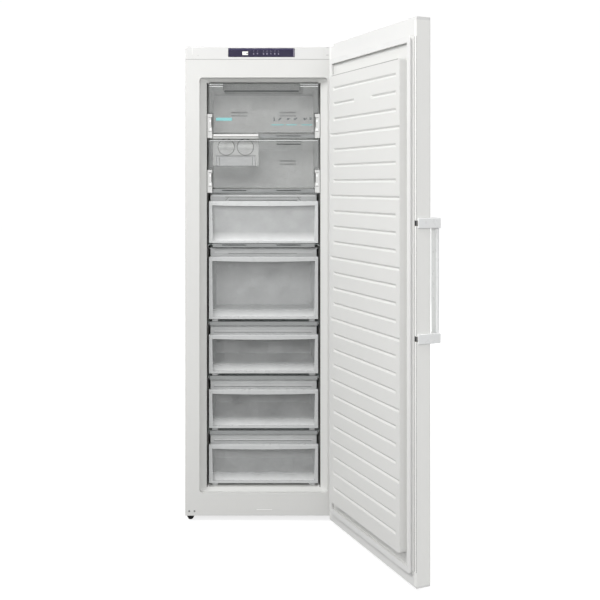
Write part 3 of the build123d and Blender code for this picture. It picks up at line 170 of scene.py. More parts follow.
class Finish:
    """A material that is built node by node round one Principled shader."""

    def __init__(self, name, **constants):
        self.material = bpy.data.materials.new(name)
        self.material.use_nodes = True
        self.tree = self.material.node_tree
        self.shader = next(n for n in self.tree.nodes if n.type == "BSDF_PRINCIPLED")
        for socket, value in constants.items():
            self.set(socket.replace("_", " "), value)

    def set(self, socket, value):
        """Put a value or a wire on one of the shader's sockets."""
        names = {"base color": "Base Color", "ior": "IOR", "specular": "Specular IOR Level"}
        self.plug(self.shader.inputs[names.get(socket.lower(), socket.title())], value)

    def plug(self, socket, value):
        if isinstance(value, Wire):
            self.tree.links.new(value.socket, socket)
        elif socket.type == "RGBA" and len(value) == 3:
            socket.default_value = (*value, 1)
        else:
            socket.default_value = value

    def add(self, kind, settings, values):
        """Add a node with its settings first and then its values or links."""
        node = self.tree.nodes.new(kind)
        for key, value in settings.items():
            setattr(node, key, value)
        for key, value in values.items():
            self.plug(node.inputs[key], value)
        return node

    def place(self):
        return Wire(self, self.add("ShaderNodeTexCoord", {}, {}).outputs["Object"])

    def axes(self):
        node = self.add("ShaderNodeSeparateXYZ", {}, {0: self.place()})
        return [Wire(self, out) for out in node.outputs]

    def normal(self):
        """The surface's direction on the piece itself, axis by axis."""
        turned = Wire(self, self.add("ShaderNodeTexCoord", {}, {}).outputs["Normal"])
        node = self.add("ShaderNodeSeparateXYZ", {}, {0: turned})
        return [Wire(self, out) for out in node.outputs]

    def noise(self, size, detail=2.0, stretch=(1, 1, 1)):
        """Cloudy pattern with features of about the given size in metres."""
        mapping = self.add("ShaderNodeMapping", {}, {"Vector": self.place(), "Scale": stretch})
        node = self.add(
            "ShaderNodeTexNoise", {},
            {"Vector": Wire(self, mapping.outputs[0]), "Scale": 1 / size, "Detail": detail},
        )
        return Wire(self, node.outputs["Fac"])

    def cells(self, size):
        node = self.add("ShaderNodeTexVoronoi", {}, {"Vector": self.place(), "Scale": 1 / size})
        return Wire(self, node.outputs["Color"])

    def fade(self, factor, low, high):
        """Colour that goes from low to high with the factor."""
        node = self.add("ShaderNodeMix", {"data_type": "RGBA"}, {0: factor, 6: low, 7: high})
        return Wire(self, node.outputs[2])

    def span(self, factor, from_low, from_high, low=0.0, high=1.0):
        """The factor's range laid onto another range, held at its ends."""
        node = self.add(
            "ShaderNodeMapRange", {},
            {"Value": factor, "From Min": from_low, "From Max": from_high, "To Min": low, "To Max": high},
        )
        return Wire(self, node.outputs[0])

    def relief(self, height, distance, strength=1.0):
        node = self.add(
            "ShaderNodeBump", {}, {"Height": height, "Distance": distance, "Strength": strength},
        )
        self.plug(self.shader.inputs["Normal"], Wire(self, node.outputs[0]))
        return self


def tint(tone, factor):
    return tuple(max(0.0, min(1.0, part * factor)) for part in tone)


def varied(finish, tone, size, amount):
    """Base colour that wanders a little either side of a tone."""
    return finish.fade(finish.noise(size, 3.0), tint(tone, 1 - amount), tint(tone, 1 + amount))


def enamel(name, tone):
    finish = Finish(name, roughness=0.32, coat_weight=0.25, coat_roughness=0.12)
    finish.set("base color", varied(finish, tone, 0.35, 0.012))
    return finish.relief(finish.noise(0.0028, 1.0), 0.00006, 0.35).material


def moulded(name, tone, roughness=0.42, grain=0.0012, depth=0.00003):
    finish = Finish(name)
    finish.set("base color", varied(finish, tone, 0.12, 0.02))
    finish.set("roughness", finish.span(finish.noise(0.02), 0.3, 0.7, roughness - 0.05, roughness + 0.05))
    return finish.relief(finish.noise(grain, 2.0), depth, 0.4).material


def formed_liner(name, tone, seam=None):
    """Vacuum-formed sheet; seam is the inner half-width where the rim turns in, and a thin strip there is
    darkened as painted shade.
    """
    finish = Finish(name, coat_weight=0.1, coat_roughness=0.3)
    body = varied(finish, tone, 0.4, 0.012)
    if seam:
        # painted shade: a thin strip of the side walls just inside the rim's turn, near the front, is darkened to
        # about an eighth of the tone
        across, deep, up = finish.axes()
        side = abs(across)
        shade = (side > seam - 0.001) * (side < seam + 0.0028) * (deep > RIM_DEPTH[0]) * (deep < RIM_DEPTH[1])
        body = finish.fade(shade * (up > RIM_HEIGHT[0]) * (up < RIM_HEIGHT[1]), body, tint(tone, 0.12))
    finish.set("base color", body)
    finish.set("roughness", finish.span(finish.noise(0.05), 0.3, 0.7, 0.36, 0.46))
    soft = finish.noise(0.09, 1.0) * 3 + finish.noise(0.0015, 1.0) * 0.2
    return finish.relief(soft, 0.00012, 0.35).material


def frosted(name, tone, alpha, rim=0.0, window=None, foot=0.0):
    """Translucent moulded plastic.

    rim is the cover of the sheet's cut edges, which are also darkened as painted shade, and window the
    depth that the clear front wall ends at and its own cover, which thickens to a pale band of painted light over
    its foot.
    """
    finish = Finish(name, roughness=0.28, ior=1.49)
    streaks = finish.noise(0.02, 3.0, (1, 1, 6))
    body = finish.fade(streaks, tint(tone, 0.94), tint(tone, 1.06))
    cover = finish.span(finish.noise(0.05, 2.0), 0.3, 0.7, alpha - 0.03, alpha + 0.03)
    if rim:
        # painted shade: faces that are not turned to the front or back, the cut edges, get a much darker tone
        edge = abs(finish.normal()[1]) < 0.6
        body = finish.fade(edge, body, tint(tone, 0.35))
        cover = cover + edge * (rim - alpha)
    if window:
        across, deep, up = finish.axes()
        front = deep < window[0]
        # painted light: over its foot the clear front wall turns pale and less clear, standing for the lit floor
        # of the drawer seen through it
        pale = finish.span(up, foot + 0.006, foot + 0.042, 0.55, 0.0)
        cover = cover + front * (pale + (window[1] - alpha))
        body = finish.fade(front * pale, body, (0.92, 0.92, 0.92))
    finish.set("base color", body)
    finish.set("alpha", cover)
    return finish.relief(finish.noise(0.0016, 1.0) * 0.3, 0.00012, 0.5).material


def clear_glass(name, cover):
    finish = Finish(name, base_color=(0.72, 0.80, 0.79), roughness=0.04, ior=1.5)
    smear = finish.noise(0.06, 4.0)
    finish.set("alpha", finish.span(smear, 0.35, 0.75, cover, cover + 0.08))
    return finish.relief(finish.noise(0.03, 2.0), 0.00002, 0.3).material


def zinc_sheet(name, tone):
    finish = Finish(name, metallic=0.85)
    spangle = finish.cells(0.012)
    finish.set("base color", finish.fade(spangle, tint(tone, 0.82), tint(tone, 1.12)))
    finish.set("roughness", finish.span(finish.noise(0.02, 4.0), 0.3, 0.7, 0.32, 0.5))
    return finish.relief(finish.noise(0.004, 2.0), 0.00008, 0.4).material


def dark_metal(name, tone, roughness=0.4, metallic=0.3):
    finish = Finish(name, metallic=metallic, coat_weight=0.3, coat_roughness=0.3)
    finish.set("base color", varied(finish, tone, 0.03, 0.15))
    finish.set("roughness", finish.span(finish.noise(0.01, 4.0), 0.3, 0.7, roughness - 0.08, roughness + 0.1))
    return finish.relief(finish.noise(0.0012, 3.0), 0.00008, 0.5).material


def bare_metal(name, tone, roughness=0.3):
    finish = Finish(name, metallic=1.0)
    brushed = finish.noise(0.004, 3.0, (1, 1, 12))
    finish.set("base color", finish.fade(brushed, tint(tone, 0.88), tint(tone, 1.06)))
    finish.set("roughness", finish.span(brushed, 0.3, 0.7, roughness - 0.08, roughness + 0.12))
    return finish.relief(brushed, 0.00003, 0.4).material


def rubber(name, tone, roughness=0.6):
    finish = Finish(name, specular=0.35)
    finish.set("base color", varied(finish, tone, 0.05, 0.05))
    finish.set("roughness", finish.span(finish.noise(0.008, 3.0), 0.3, 0.7, roughness - 0.06, roughness + 0.1))
    return finish.relief(finish.noise(0.0009, 2.0), 0.00005, 0.5).material


def foam(name, tone):
    finish = Finish(name, roughness=0.9)
    finish.set("base color", varied(finish, tone, 0.01, 0.08))
    return finish.relief(finish.cells(0.002), 0.0002, 0.6).material


# ---------------------------------------------------------------- modelling
def deselect():
    bpy.ops.object.select_all(action="DESELECT")


def block(name, low, high, bevel):
    """A block between two corners, its edges rounded by the bevel."""
    low, high = Vector(low), Vector(high)
    deselect()
    bpy.ops.mesh.primitive_cube_add(size=1, location=(low + high) / 2, scale=high - low)
    piece = settle(bpy.context.object)
    piece.name = piece.data.name = name
    bpy.ops.object.mode_set(mode="EDIT")
    bpy.ops.mesh.select_all(action="SELECT")
    bpy.ops.mesh.bevel(offset=bevel, segments=2, affect="EDGES")
    bpy.ops.object.mode_set(mode="OBJECT")
    return piece


def ring(name, centre, radius, depth, inset, sides=64):
    """A thin open ring round a point, which lies on the front of the object."""
    deselect()
    bpy.ops.mesh.primitive_cylinder_add(
        vertices=sides, radius=radius, depth=depth, location=centre, rotation=(math.pi / 2, 0, 0),
    )
    piece = settle(bpy.context.object)
    piece.name = piece.data.name = name
    bpy.ops.object.mode_set(mode="EDIT")
    bpy.ops.mesh.select_all(action="DESELECT")
    edit = bmesh.from_edit_mesh(piece.data)
    for face in edit.faces:
        face.select = len(face.verts) == sides
    bmesh.update_edit_mesh(piece.data)
    bpy.ops.mesh.inset(thickness=inset)
    bpy.ops.mesh.delete(type="FACE")
    bpy.ops.object.mode_set(mode="OBJECT")
    return piece


def plate(name, centre, size, turn=0.0, sides=24, thick=MARK):
    """A thin mark on a face that looks forward: a print, an inlay, or a strip of painted shade or highlight."""
    deselect()
    bpy.ops.mesh.primitive_circle_add(
        vertices=sides, radius=0.5, fill_type="NGON", rotation=(math.pi / 2, 0, 0),
    )
    piece = settle(bpy.context.object)
    piece.name = piece.data.name = name
    stretch = 1.0
    if sides == 4:
        piece.data.transform(Matrix.Rotation(math.pi / 4, 4, "Y"))
        stretch = math.sqrt(2)
    bpy.ops.object.mode_set(mode="EDIT")
    bpy.ops.mesh.select_all(action="SELECT")
    bpy.ops.transform.resize(value=(size[0] * stretch, 1, size[1] * stretch), center_override=(0, 0, 0))
    bpy.ops.transform.rotate(value=turn, orient_axis="Y", center_override=(0, 0, 0))
    bpy.ops.mesh.extrude_region_move(TRANSFORM_OT_translate={"value": (0, -thick, 0)})
    bpy.ops.mesh.select_all(action="SELECT")
    bpy.ops.mesh.normals_make_consistent(inside=False)
    bpy.ops.transform.translate(value=centre)
    bpy.ops.object.mode_set(mode="OBJECT")
    return piece


def bar(name, centre, size, turn=0.0, thick=MARK):
    """A mark with four straight sides."""
    return plate(name, centre, size, turn, 4, thick)


def bars(name, depth, places):
    """Bars joined into one piece; each place is a middle (across, up) and a size."""
    return join(name, [bar("bar", (x, depth, z), size) for (x, z), size in places])


def settle(piece):
    """Move a piece's place into its mesh, so its object stays at the origin."""
    deselect()
    piece.select_set(True)
    bpy.context.view_layer.objects.active = piece
    bpy.ops.object.transform_apply(location=True, rotation=True, scale=True)
    return piece


def join(name, pieces):
    """Join several pieces into one object with its own name."""
    deselect()
    for piece in pieces:
        piece.select_set(True)
    bpy.context.view_layer.objects.active = pieces[0]
    bpy.ops.object.join()
    pieces[0].name = pieces[0].data.name = name
    return pieces[0]


def on_door(piece):
    """Carry a piece from door coordinates to the open door and ride it there."""
    piece.matrix_world = DOOR_PLACE
    settle(piece)
    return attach(piece, "door")


def dress(piece, material):
    piece.data.materials.clear()
    piece.data.materials.append(material)
    return piece


def dress_nodes(material, *names):
    """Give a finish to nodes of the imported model."""
    for name in names:
        node = NODES[name]
        if not node.material_slots:
            node.data.materials.append(material)
        for place in node.material_slots:
            place.material = material


# ---------------------------------------------------------------- operators
class FREEZER_OT_cabinet(bpy.types.Operator):
    """Finish the cabinet's sheets, strip, end caps and liner"""

    bl_idname = "freezer.cabinet"
    bl_label = "Cabinet"

    def execute(self, context):
        tones = context.scene.freezer_finishes
        dress_nodes(enamel("cabinet enamel", tones.enamel), "cabinet_wrap", "front_frame")
        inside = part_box("evaporator_cover")[1].x
        dress_nodes(formed_liner("cabinet liner", tones.liner, inside), "inner_liner")
        # painted light: the rear cover gets a much lighter copy of the liner's plastic, to brighten the shaded
        # back of the inside
        dress_nodes(formed_liner("rear cover sheet lightened", tint(tones.liner, 1.41)), "evaporator_cover")
        white = moulded("white moulding", tones.moulding)
        dress_nodes(white, "left_end_cap", "hinge_cap", "control_panel", "flap_brackets")
        dress_nodes(zinc_sheet("zinc sheet", tones.zinc), "back_panel", "base_plate", "bay_shroud")
        dress_nodes(foam("insulating foam", (0.62, 0.55, 0.34)), "insulation_foam", "door_foam")
        dress_nodes(moulded("grey plug", (0.2, 0.2, 0.2)), "hole_plugs")
        return {"FINISHED"}


class FREEZER_OT_display(bpy.types.Operator):
    """Dark window of the strip with its lit field and plain symbols"""

    bl_idname = "freezer.display"
    bl_label = "Display"

    def execute(self, context):
        tones = context.scene.freezer_finishes
        window = Finish("display window", roughness=0.12, coat_weight=0.6, coat_roughness=0.05)
        window.set("base color", varied(window, tones.window_blue, 0.1, 0.1))
        dress_nodes(window.relief(window.noise(0.004), 0.00001, 0.2).material, "display_window")
        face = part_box("display_window")[0].y
        lit = Finish("lit field", roughness=0.35, emission_strength=0.25)
        lit.set("base color", varied(lit, (0.82, 0.82, 0.78), 0.01, 0.04))
        lit.set("emission color", (0.9, 0.9, 0.85))
        field = block(
            "display_field", (-0.0805, face - 0.0003, 1.7470), (-0.0590, face + 0.0006, 1.7602), 0.0002,
        )
        dress(field, lit.material)
        figures = bars("display_figures", face - 0.0003, [
            ((-0.0722, 1.7532), (0.006, 0.0012)), ((-0.0655, 1.7532), (0.0016, 0.0055)),
            ((-0.0620, 1.7532), (0.004, 0.0055)),
        ])
        dress(figures, moulded("field figures", (0.28, 0.28, 0.26)))
        glyph = context.scene.freezer_details.glyph
        marks = []
        for number, x in enumerate((-0.0378, -0.0230, 0.0000, 0.0131, 0.0275, 0.0426, 0.0567)):
            marks.append(bar("dash", (x, face, 1.7622), (0.0042, 0.0011)))
            for turn in range(3 if number % 2 else 2):
                marks.append(bar("bar", (x, face, 1.7525), (0.0011, glyph * 1.25), turn * math.pi / 3))
            if number % 3 != 1:
                marks.append(plate("dot", (x, face, 1.7497), (glyph * 0.8, glyph * 0.5), sides=16))
        symbols = dress(join("display_symbols", marks), moulded("symbol ink", (0.32, 0.30, 0.40), 0.4))
        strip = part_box("control_panel")[0].y
        lens = plate("strip_sensor", (-0.2486, strip, 1.7451), (0.0056, 0.0024))
        dress(lens, moulded("sensor lens", (0.52, 0.52, 0.52), 0.3))
        # painted highlight: a thin bead in near-white plastic at the seam of the left end cap stands for the
        # bright line of light along that edge
        bead = block(
            "strip_seam_highlight_bead", (-0.2712, strip - 0.0002, 1.7482), (-0.2700, strip + 0.001, 1.7772), 0.0002,
        )
        dress(bead, moulded("bead highlight plastic", (0.92, 0.92, 0.91), 0.25))
        seam = bar("strip_seam", (0, strip, 1.7305), (0.592, 0.0016))
        dress(seam, moulded("seam shade", (0.30, 0.30, 0.30)))
        # painted reflection: a lighter upright bar at the window's right end stands for the light reflected by
        # its bevel
        edge = bar("window_edge_reflection", (0.1149, face, 1.7560), (0.0046, 0.0310))
        dress(edge, moulded("window edge reflection", (0.20, 0.19, 0.24), 0.3))
        band = bar("window_band", (-0.0100, face, 1.7695), (0.2440, 0.0058))
        dress(band, moulded("window band plastic", tint(tones.window_blue, 1.9), 0.3))
        for piece in (field, figures, symbols, lens, bead, seam, edge, band):
            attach(piece, "cabinet")
        return {"FINISHED"}


class FREEZER_OT_shelves(bpy.types.Operator):
    """Glass shelves and their grey front trims"""

    bl_idname = "freezer.shelves"
    bl_label = "Shelves"

    def execute(self, context):
        tones = context.scene.freezer_finishes
        glass = clear_glass("shelf glass", context.scene.freezer_details.glass_tint)
        dress_nodes(glass, "glass_shelf_1", "glass_shelf_2", "lower_glass_shelves")
        trim = frosted("shelf trim", tones.trim_grey, 0.92)
        dress_nodes(trim, "shelf_trim_1", "shelf_trim_2", "shelf_trim_3", "lower_shelf_trims")
        gaps = []
        for number in (1, 2, 3):
            low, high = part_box(f"shelf_trim_{number}")
            for x in (-0.113, 0.096):
                gaps.append(bar("slot", (x, low.y + 0.0006, high.z - 0.0067), (0.0925, 0.0024)))
        slots = dress(join("shelf_slots", gaps), moulded("slot shade", (0.03, 0.03, 0.03)))
        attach(slots, "cabinet")
        return {"FINISHED"}


class FREEZER_OT_flaps(bpy.types.Operator):
    """Tilting translucent flaps of the two upper compartments"""

    bl_idname = "freezer.flaps"
    bl_label = "Flaps"

    def execute(self, context):
        tones = context.scene.freezer_finishes
        # the upper flap's cut edges are darkened as painted shade
        dress_nodes(frosted("upper flap plastic", tones.flap_grey, 0.18, rim=0.55), "flap_upper")
        dress_nodes(frosted("lower flap plastic", tones.flap_grey, 0.18), "flap_lower")
        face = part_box("flap_upper")[0].y
        blue = bars("flap_stripes", face, [
            ((-0.1518, 1.506), (0.0616, 0.0115)), ((0.0542, 1.4845), (0.047, 0.0035)),
            ((0.1063, 1.4845), (0.042, 0.0035)), ((0.1655, 1.4845), (0.040, 0.0035)),
        ])
        dress(blue, moulded("stripe ink", tones.mark_blue, 0.4))
        shapes = [
            ((0.0404, 1.5082), (0.0045, 0.0125), 0.2, 24), ((0.0404, 1.5010), (0.0085, 0.0035), 0, 24),
            ((0.0625, 1.5068), (0.0160, 0.0060), 0.75, 24), ((0.0935, 1.5068), (0.0110, 0.0085), 0.4, 5),
            ((0.1010, 1.5090), (0.0060, 0.0020), -0.5, 4), ((0.1205, 1.5068), (0.0130, 0.0065), 0.2, 6),
            ((0.1270, 1.5100), (0.0030, 0.0070), 0, 24), ((0.1570, 1.5068), (0.0105, 0.0080), -0.5, 24),
            ((0.1650, 1.5082), (0.0025, 0.0090), 0.3, 24), ((0.1800, 1.5068), (0.0120, 0.0050), 0, 24),
            ((0.1800, 1.5120), (0.0090, 0.0022), 0, 4),
        ]
        dark = join("flap_food_marks", [
            plate("food mark", (x, face, z), size, turn, sides) for (x, z), size, turn, sides in shapes
        ])
        dress(dark, moulded("mark ink", (0.17, 0.18, 0.185), 0.4))
        for piece in (blue, dark):
            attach(piece, "flap_upper")
        # painted shade and highlight on the flaps: near-black lines along their edges, notches and scoop and
        # under the trim slots, and pale lines along their top rims where light falls
        shade = moulded("flap edge shade", (0.07, 0.075, 0.075))
        shine = moulded("flap ridge highlight", (0.72, 0.73, 0.73), 0.2)
        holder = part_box("flap_brackets")[0].y
        for flap in ("flap_upper", "flap_lower"):
            low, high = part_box(flap)
            # painted shade and highlight on the flap brackets: dark lines at the steps between their blocks, and
            # small near-white spots where light falls on them
            for name, tone, across, rises, size in (
                ("joints", 0.20, 0.2045, (0.059, 0.006), (0.0130, 0.0016)),
                ("boss_highlights", 0.95, 0.2040, (0.047, 0.014), (0.0060, 0.0085)),
            ):
                places = [((side * across, low.z + up), size) for side in (-1, 1) for up in rises]
                line = bars(f"{flap}_bracket_{name}", holder, places)
                dress(line, moulded(f"{flap} bracket {name}", (tone, tone, tone), 0.3))
                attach(line, "cabinet")
            face, notch = low.y, low.z + 0.0755
            edges = []
            for side in (-1, 1):
                edges += [
                    ((side * 0.1945, (low.z + notch) / 2 + 0.001), (0.0014, notch - low.z - 0.004)),
                    ((side * 0.2026, notch + 0.0008), (0.0160, 0.0014)),
                    ((side * 0.2098, (notch + high.z) / 2), (0.0014, high.z - notch - 0.004)),
                ]
            highlight_lines = [((0, high.z - 0.0040), (0.412, 0.0022))]
            if flap == "flap_upper":
                edges += [
                    ((0.087, low.z + 0.0008), (0.213, 0.0016)), ((-0.0075, high.z - 0.0012), (0.293, 0.0016)),
                    ((-0.0075, high.z - 0.0300), (0.285, 0.0042)), ((-0.1545, high.z - 0.0165), (0.0014, 0.0250)),
                    ((0.1395, high.z - 0.0165), (0.0014, 0.0250)),
                ]
                highlight_lines = [
                    ((-0.1815, high.z - 0.0045), (0.052, 0.0022)), ((0.1745, high.z - 0.0045), (0.068, 0.0022)),
                    ((-0.1815, high.z - 0.0125), (0.052, 0.0036)), ((0.1745, high.z - 0.0125), (0.068, 0.0036)),
                ]
            else:
                edges += [
                    ((0.0965, high.z - 0.0067), (0.094, 0.0016)), ((0.0965, high.z - 0.0176), (0.094, 0.0034)),
                ]
            for name, ink, places in (("edges", shade, edges), ("highlight_lines", shine, highlight_lines)):
                line = dress(bars(f"{flap}_{name}", face, places), ink)
                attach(line, flap)
        return {"FINISHED"}


class FREEZER_OT_ice_maker(bpy.types.Operator):
    """Ice maker frame, its twisting trays and the bin under them"""

    bl_idname = "freezer.ice_maker"
    bl_label = "Ice maker"

    def execute(self, context):
        tones = context.scene.freezer_finishes
        dress_nodes(moulded("ice maker plastic", tones.ice_grey), "ice_maker_frame")
        trays = moulded("ice tray plastic", tint(tones.ice_grey, 0.92))
        dress_nodes(trays, "ice_tray_left", "ice_tray_right")
        dress_nodes(frosted("ice bin plastic", tint(tones.drawer_grey, 0.7), 0.8), "ice_bin")
        for side in ("left", "right"):
            low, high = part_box(f"ice_tray_{side}")
            middle = ((low.x + high.x) / 2, low.y, (low.z + high.z) / 2)
            size = (high.x - low.x, high.z - low.z)
            knob = plate(f"ice_knob_{side}", middle, size, sides=64, thick=0.0006)
            finish = Finish(f"ice knob highlighted plastic {side}", roughness=0.35)
            # painted highlight: the colour of each knob is lightened in a band across its middle, along with the
            # bump, as if light fell on a dome
            up = (finish.axes()[2] - (middle[2] + 0.002)) / 0.011
            dome_highlight = up.sum("EXPONENT", up * up * -1.0)
            finish.set("base color", finish.fade(dome_highlight, tint(tones.ice_grey, 0.95), tint(tones.ice_grey, 1.25)))
            dress(knob, finish.relief(dome_highlight, 0.006, 1.0).material)
            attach(knob, f"ice_tray_{side}")
            # painted shadow: a near-black thin ring round each knob stands for the shade in the gap between knob
            # and frame
            gap = ring(f"ice_knob_gap_shadow_{side}", (middle[0], low.y - 0.0004, middle[2]), 0.0326, 0.0004, 0.0024)
            dress(gap, moulded(f"knob gap shadow {side}", (0.015, 0.016, 0.015)))
            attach(gap, "cabinet")
        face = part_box("ice_maker_frame")[0].y
        lip = bar("ice_maker_lip", (-0.1058, face, 1.4451), (0.1700, 0.0054), thick=0.0003)
        dress(lip, moulded("lip plastic", (0.84, 0.84, 0.83), 0.25))
        bin_low, bin_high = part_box("ice_bin")
        middle = (bin_low.z + bin_high.z) / 2
        ribs = bars("ice_bin_ribs", bin_low.y, [((x, middle), (0.0018, 0.032)) for x in (-0.1695, -0.0426)])
        dress(ribs, moulded("bin rib plastic", (0.03, 0.032, 0.032)))
        for piece in (lip, ribs):
            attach(piece, "cabinet")
        return {"FINISHED"}


class FREEZER_OT_drawers(bpy.types.Operator):
    """Translucent drawer tubs with their white front frames"""

    bl_idname = "freezer.drawers"
    bl_label = "Drawers"

    def execute(self, context):
        tones = context.scene.freezer_finishes
        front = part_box("drawer_tub_1")[0].y + 0.004
        # painted shade and highlight on each drawer's grip wall: dark lines where its grooves and recess edges
        # lie in shade, and a pale band where light falls
        dark = moulded("grip groove shade", tint(tones.drawer_grey, 0.28))
        light = moulded("grip ridge highlight", tint(tones.drawer_grey, 1.35))
        # the last number of each row darkens that drawer's white frame as painted shade, giving drawers 2 to 5
        # darker copies of one plastic
        for number, window_cover, frame_shade in (
            (1, 0.40, 1.0), (2, 0.16, 0.86), (3, 0.12, 0.84), (4, 0.14, 0.84), (5, 0.20, 0.87),
        ):
            foot, top = (corner.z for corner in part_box(f"drawer_front_{number}"))
            window = (front, window_cover)
            tub = frosted(f"drawer tub plastic {number}", tones.drawer_grey, 0.95, window=window, foot=foot)
            dress_nodes(tub, f"drawer_tub_{number}")
            frame_plastic = moulded(f"drawer frame plastic {number}", tint(tones.drawer_white, frame_shade), 0.3)
            dress_nodes(frame_plastic, f"drawer_front_{number}")
            # each line is its place across, its rise over the front, its size and its turn
            if number == 1:
                lines = (
                    (-0.002, 0.0150, (0.294, 0.0015), 0), (-0.002, 0.0028, (0.266, 0.0022), 0),
                    (-0.142, 0.0090, (0.0185, 0.0015), 0.78), (0.138, 0.0090, (0.0185, 0.0015), -0.78),
                )
                rise, size = 0.0205, (0.400, 0.0050)
            elif number == 2:
                lines = ((-0.004, 0.0105, (0.266, 0.0016), 0),)
                rise, size = 0.0150, (0.380, 0.0022)
            else:
                lines = ((-0.004, 0.0032, (0.380, 0.0016), 0),)
                rise, size = 0.0080, (0.380, 0.0022)
            grooves = [bar("groove", (x, GRIP_WALL, top + up), extent, turn) for x, up, extent, turn in lines]
            ridge = bar(f"drawer_ridge_highlight_{number}", (0, GRIP_WALL, top + rise), size)
            groove = join(f"drawer_groove_shade_{number}", grooves)
            dress(groove, dark)
            dress(ridge, light)
            for piece in (groove, ridge):
                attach(piece, f"drawer_{number}")
        return {"FINISHED"}


class FREEZER_OT_door(bpy.types.Operator):
    """Door skin, caps, ribbed liner and gasket"""

    bl_idname = "freezer.door"
    bl_label = "Door"

    def execute(self, context):
        tones = context.scene.freezer_finishes
        # painted light: the door's enamel, caps and liner are lighter copies of the cabinet's finishes, standing
        # for more light falling on the door
        dress_nodes(enamel("door enamel lightened", tint(tones.enamel, 1.25)), "door_panel")
        dress_nodes(moulded("door cap plastic lightened", tint(tones.moulding, 1.08)), "door_top_cap", "door_bottom_cap")
        dress_nodes(formed_liner("door liner plastic lightened", tint(tones.liner, 1.08)), "door_liner")
        dress_nodes(rubber("gasket rubber", tones.gasket, 0.5), "door_gasket")
        # in door coordinates: along the door, outward, up
        crease = bar("door_liner_crease", (0.280, DOOR_PLUG, 1.6532), (0.462, 0.0024))
        dress(crease, moulded("crease shade", (0.36, 0.36, 0.35)))
        folds = bars("door_edge_folds", DOOR_EDGE, [
            ((along, 0.883), (0.0020, 1.668)) for along in (0.5655, 0.5768)
        ])
        dress(folds, moulded("fold shade", (0.22, 0.22, 0.215)))
        # painted shade: near-black plates over the catch slots in the door's edge stand for the shade inside them
        catches = bars("door_catch_shadows", DOOR_CATCH, [
            ((0.5712, height), (0.0150, 0.0165)) for height in (0.7742, 1.1348)
        ])
        dress(catches, moulded("catch slot shade", (0.045, 0.045, 0.048)))
        for piece in (crease, folds, catches):
            on_door(piece)
        return {"FINISHED"}


class FREEZER_OT_handle(bpy.types.Operator):
    """Bar handle on its two brackets"""

    bl_idname = "freezer.handle"
    bl_label = "Handle"

    def execute(self, context):
        tones = context.scene.freezer_finishes
        dress_nodes(moulded("handle plastic", tones.grip, 0.3), "handle_brackets", "handle_bar")
        return {"FINISHED"}


class FREEZER_OT_hardware(bpy.types.Operator):
    """Hinges, screws and levelling feet"""

    bl_idname = "freezer.hardware"
    bl_label = "Hinges and feet"

    def execute(self, context):
        tones = context.scene.freezer_finishes
        dress_nodes(enamel("hinge enamel", tint(tones.enamel, 0.95)), "upper_hinge", "lower_hinge")
        dress_nodes(bare_metal("screw steel", (0.6, 0.6, 0.6)), "hinge_screws")
        feet = rubber("foot plastic", (0.012, 0.012, 0.014), 0.45)
        dress_nodes(feet, "front_foot_left", "front_foot_right", "rear_feet")
        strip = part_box("hinge_cap")[0].y
        marks = bars("hinge_cap_marks", strip, [((0.2425, z), (0.0085, 0.0020)) for z in (1.7745, 1.7466)])
        dress(marks, moulded("cap joint shade", (0.34, 0.34, 0.34)))
        # painted highlight: a near-white enamel bar along the face's small pressed lip stands for the light
        # caught by its edge
        lip = bar("face_lip_highlight", (0.0026, FRONT - 0.0008, 0.0236), (0.0585, 0.0026))
        dress(lip, enamel("lip highlight enamel", (0.93, 0.93, 0.92)))
        for piece in (marks, lip):
            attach(piece, "cabinet")
        return {"FINISHED"}


class FREEZER_OT_machine(bpy.types.Operator):
    """Compressor, pipes, evaporator and the pieces round them"""

    bl_idname = "freezer.machine"
    bl_label = "Machine bay"

    def execute(self, context):
        dress_nodes(dark_metal("compressor paint", (0.02, 0.02, 0.022)), "compressor")
        dress_nodes(rubber("mount rubber", (0.025, 0.025, 0.025)), "compressor_grommets", "cord_gland")
        dress_nodes(moulded("drip tray plastic", (0.3, 0.31, 0.32)), "drip_tray")
        black = moulded("bay cover plastic", (0.08, 0.08, 0.085), 0.55)
        dress_nodes(black, "bay_rear_cover", "fan_motor", "fan_rotor")
        dress_nodes(bare_metal("copper", (0.72, 0.35, 0.2), 0.35), "refrigerant_pipes")
        dress_nodes(bare_metal("fin aluminium", (0.7, 0.71, 0.72), 0.35), "evaporator")
        return {"FINISHED"}


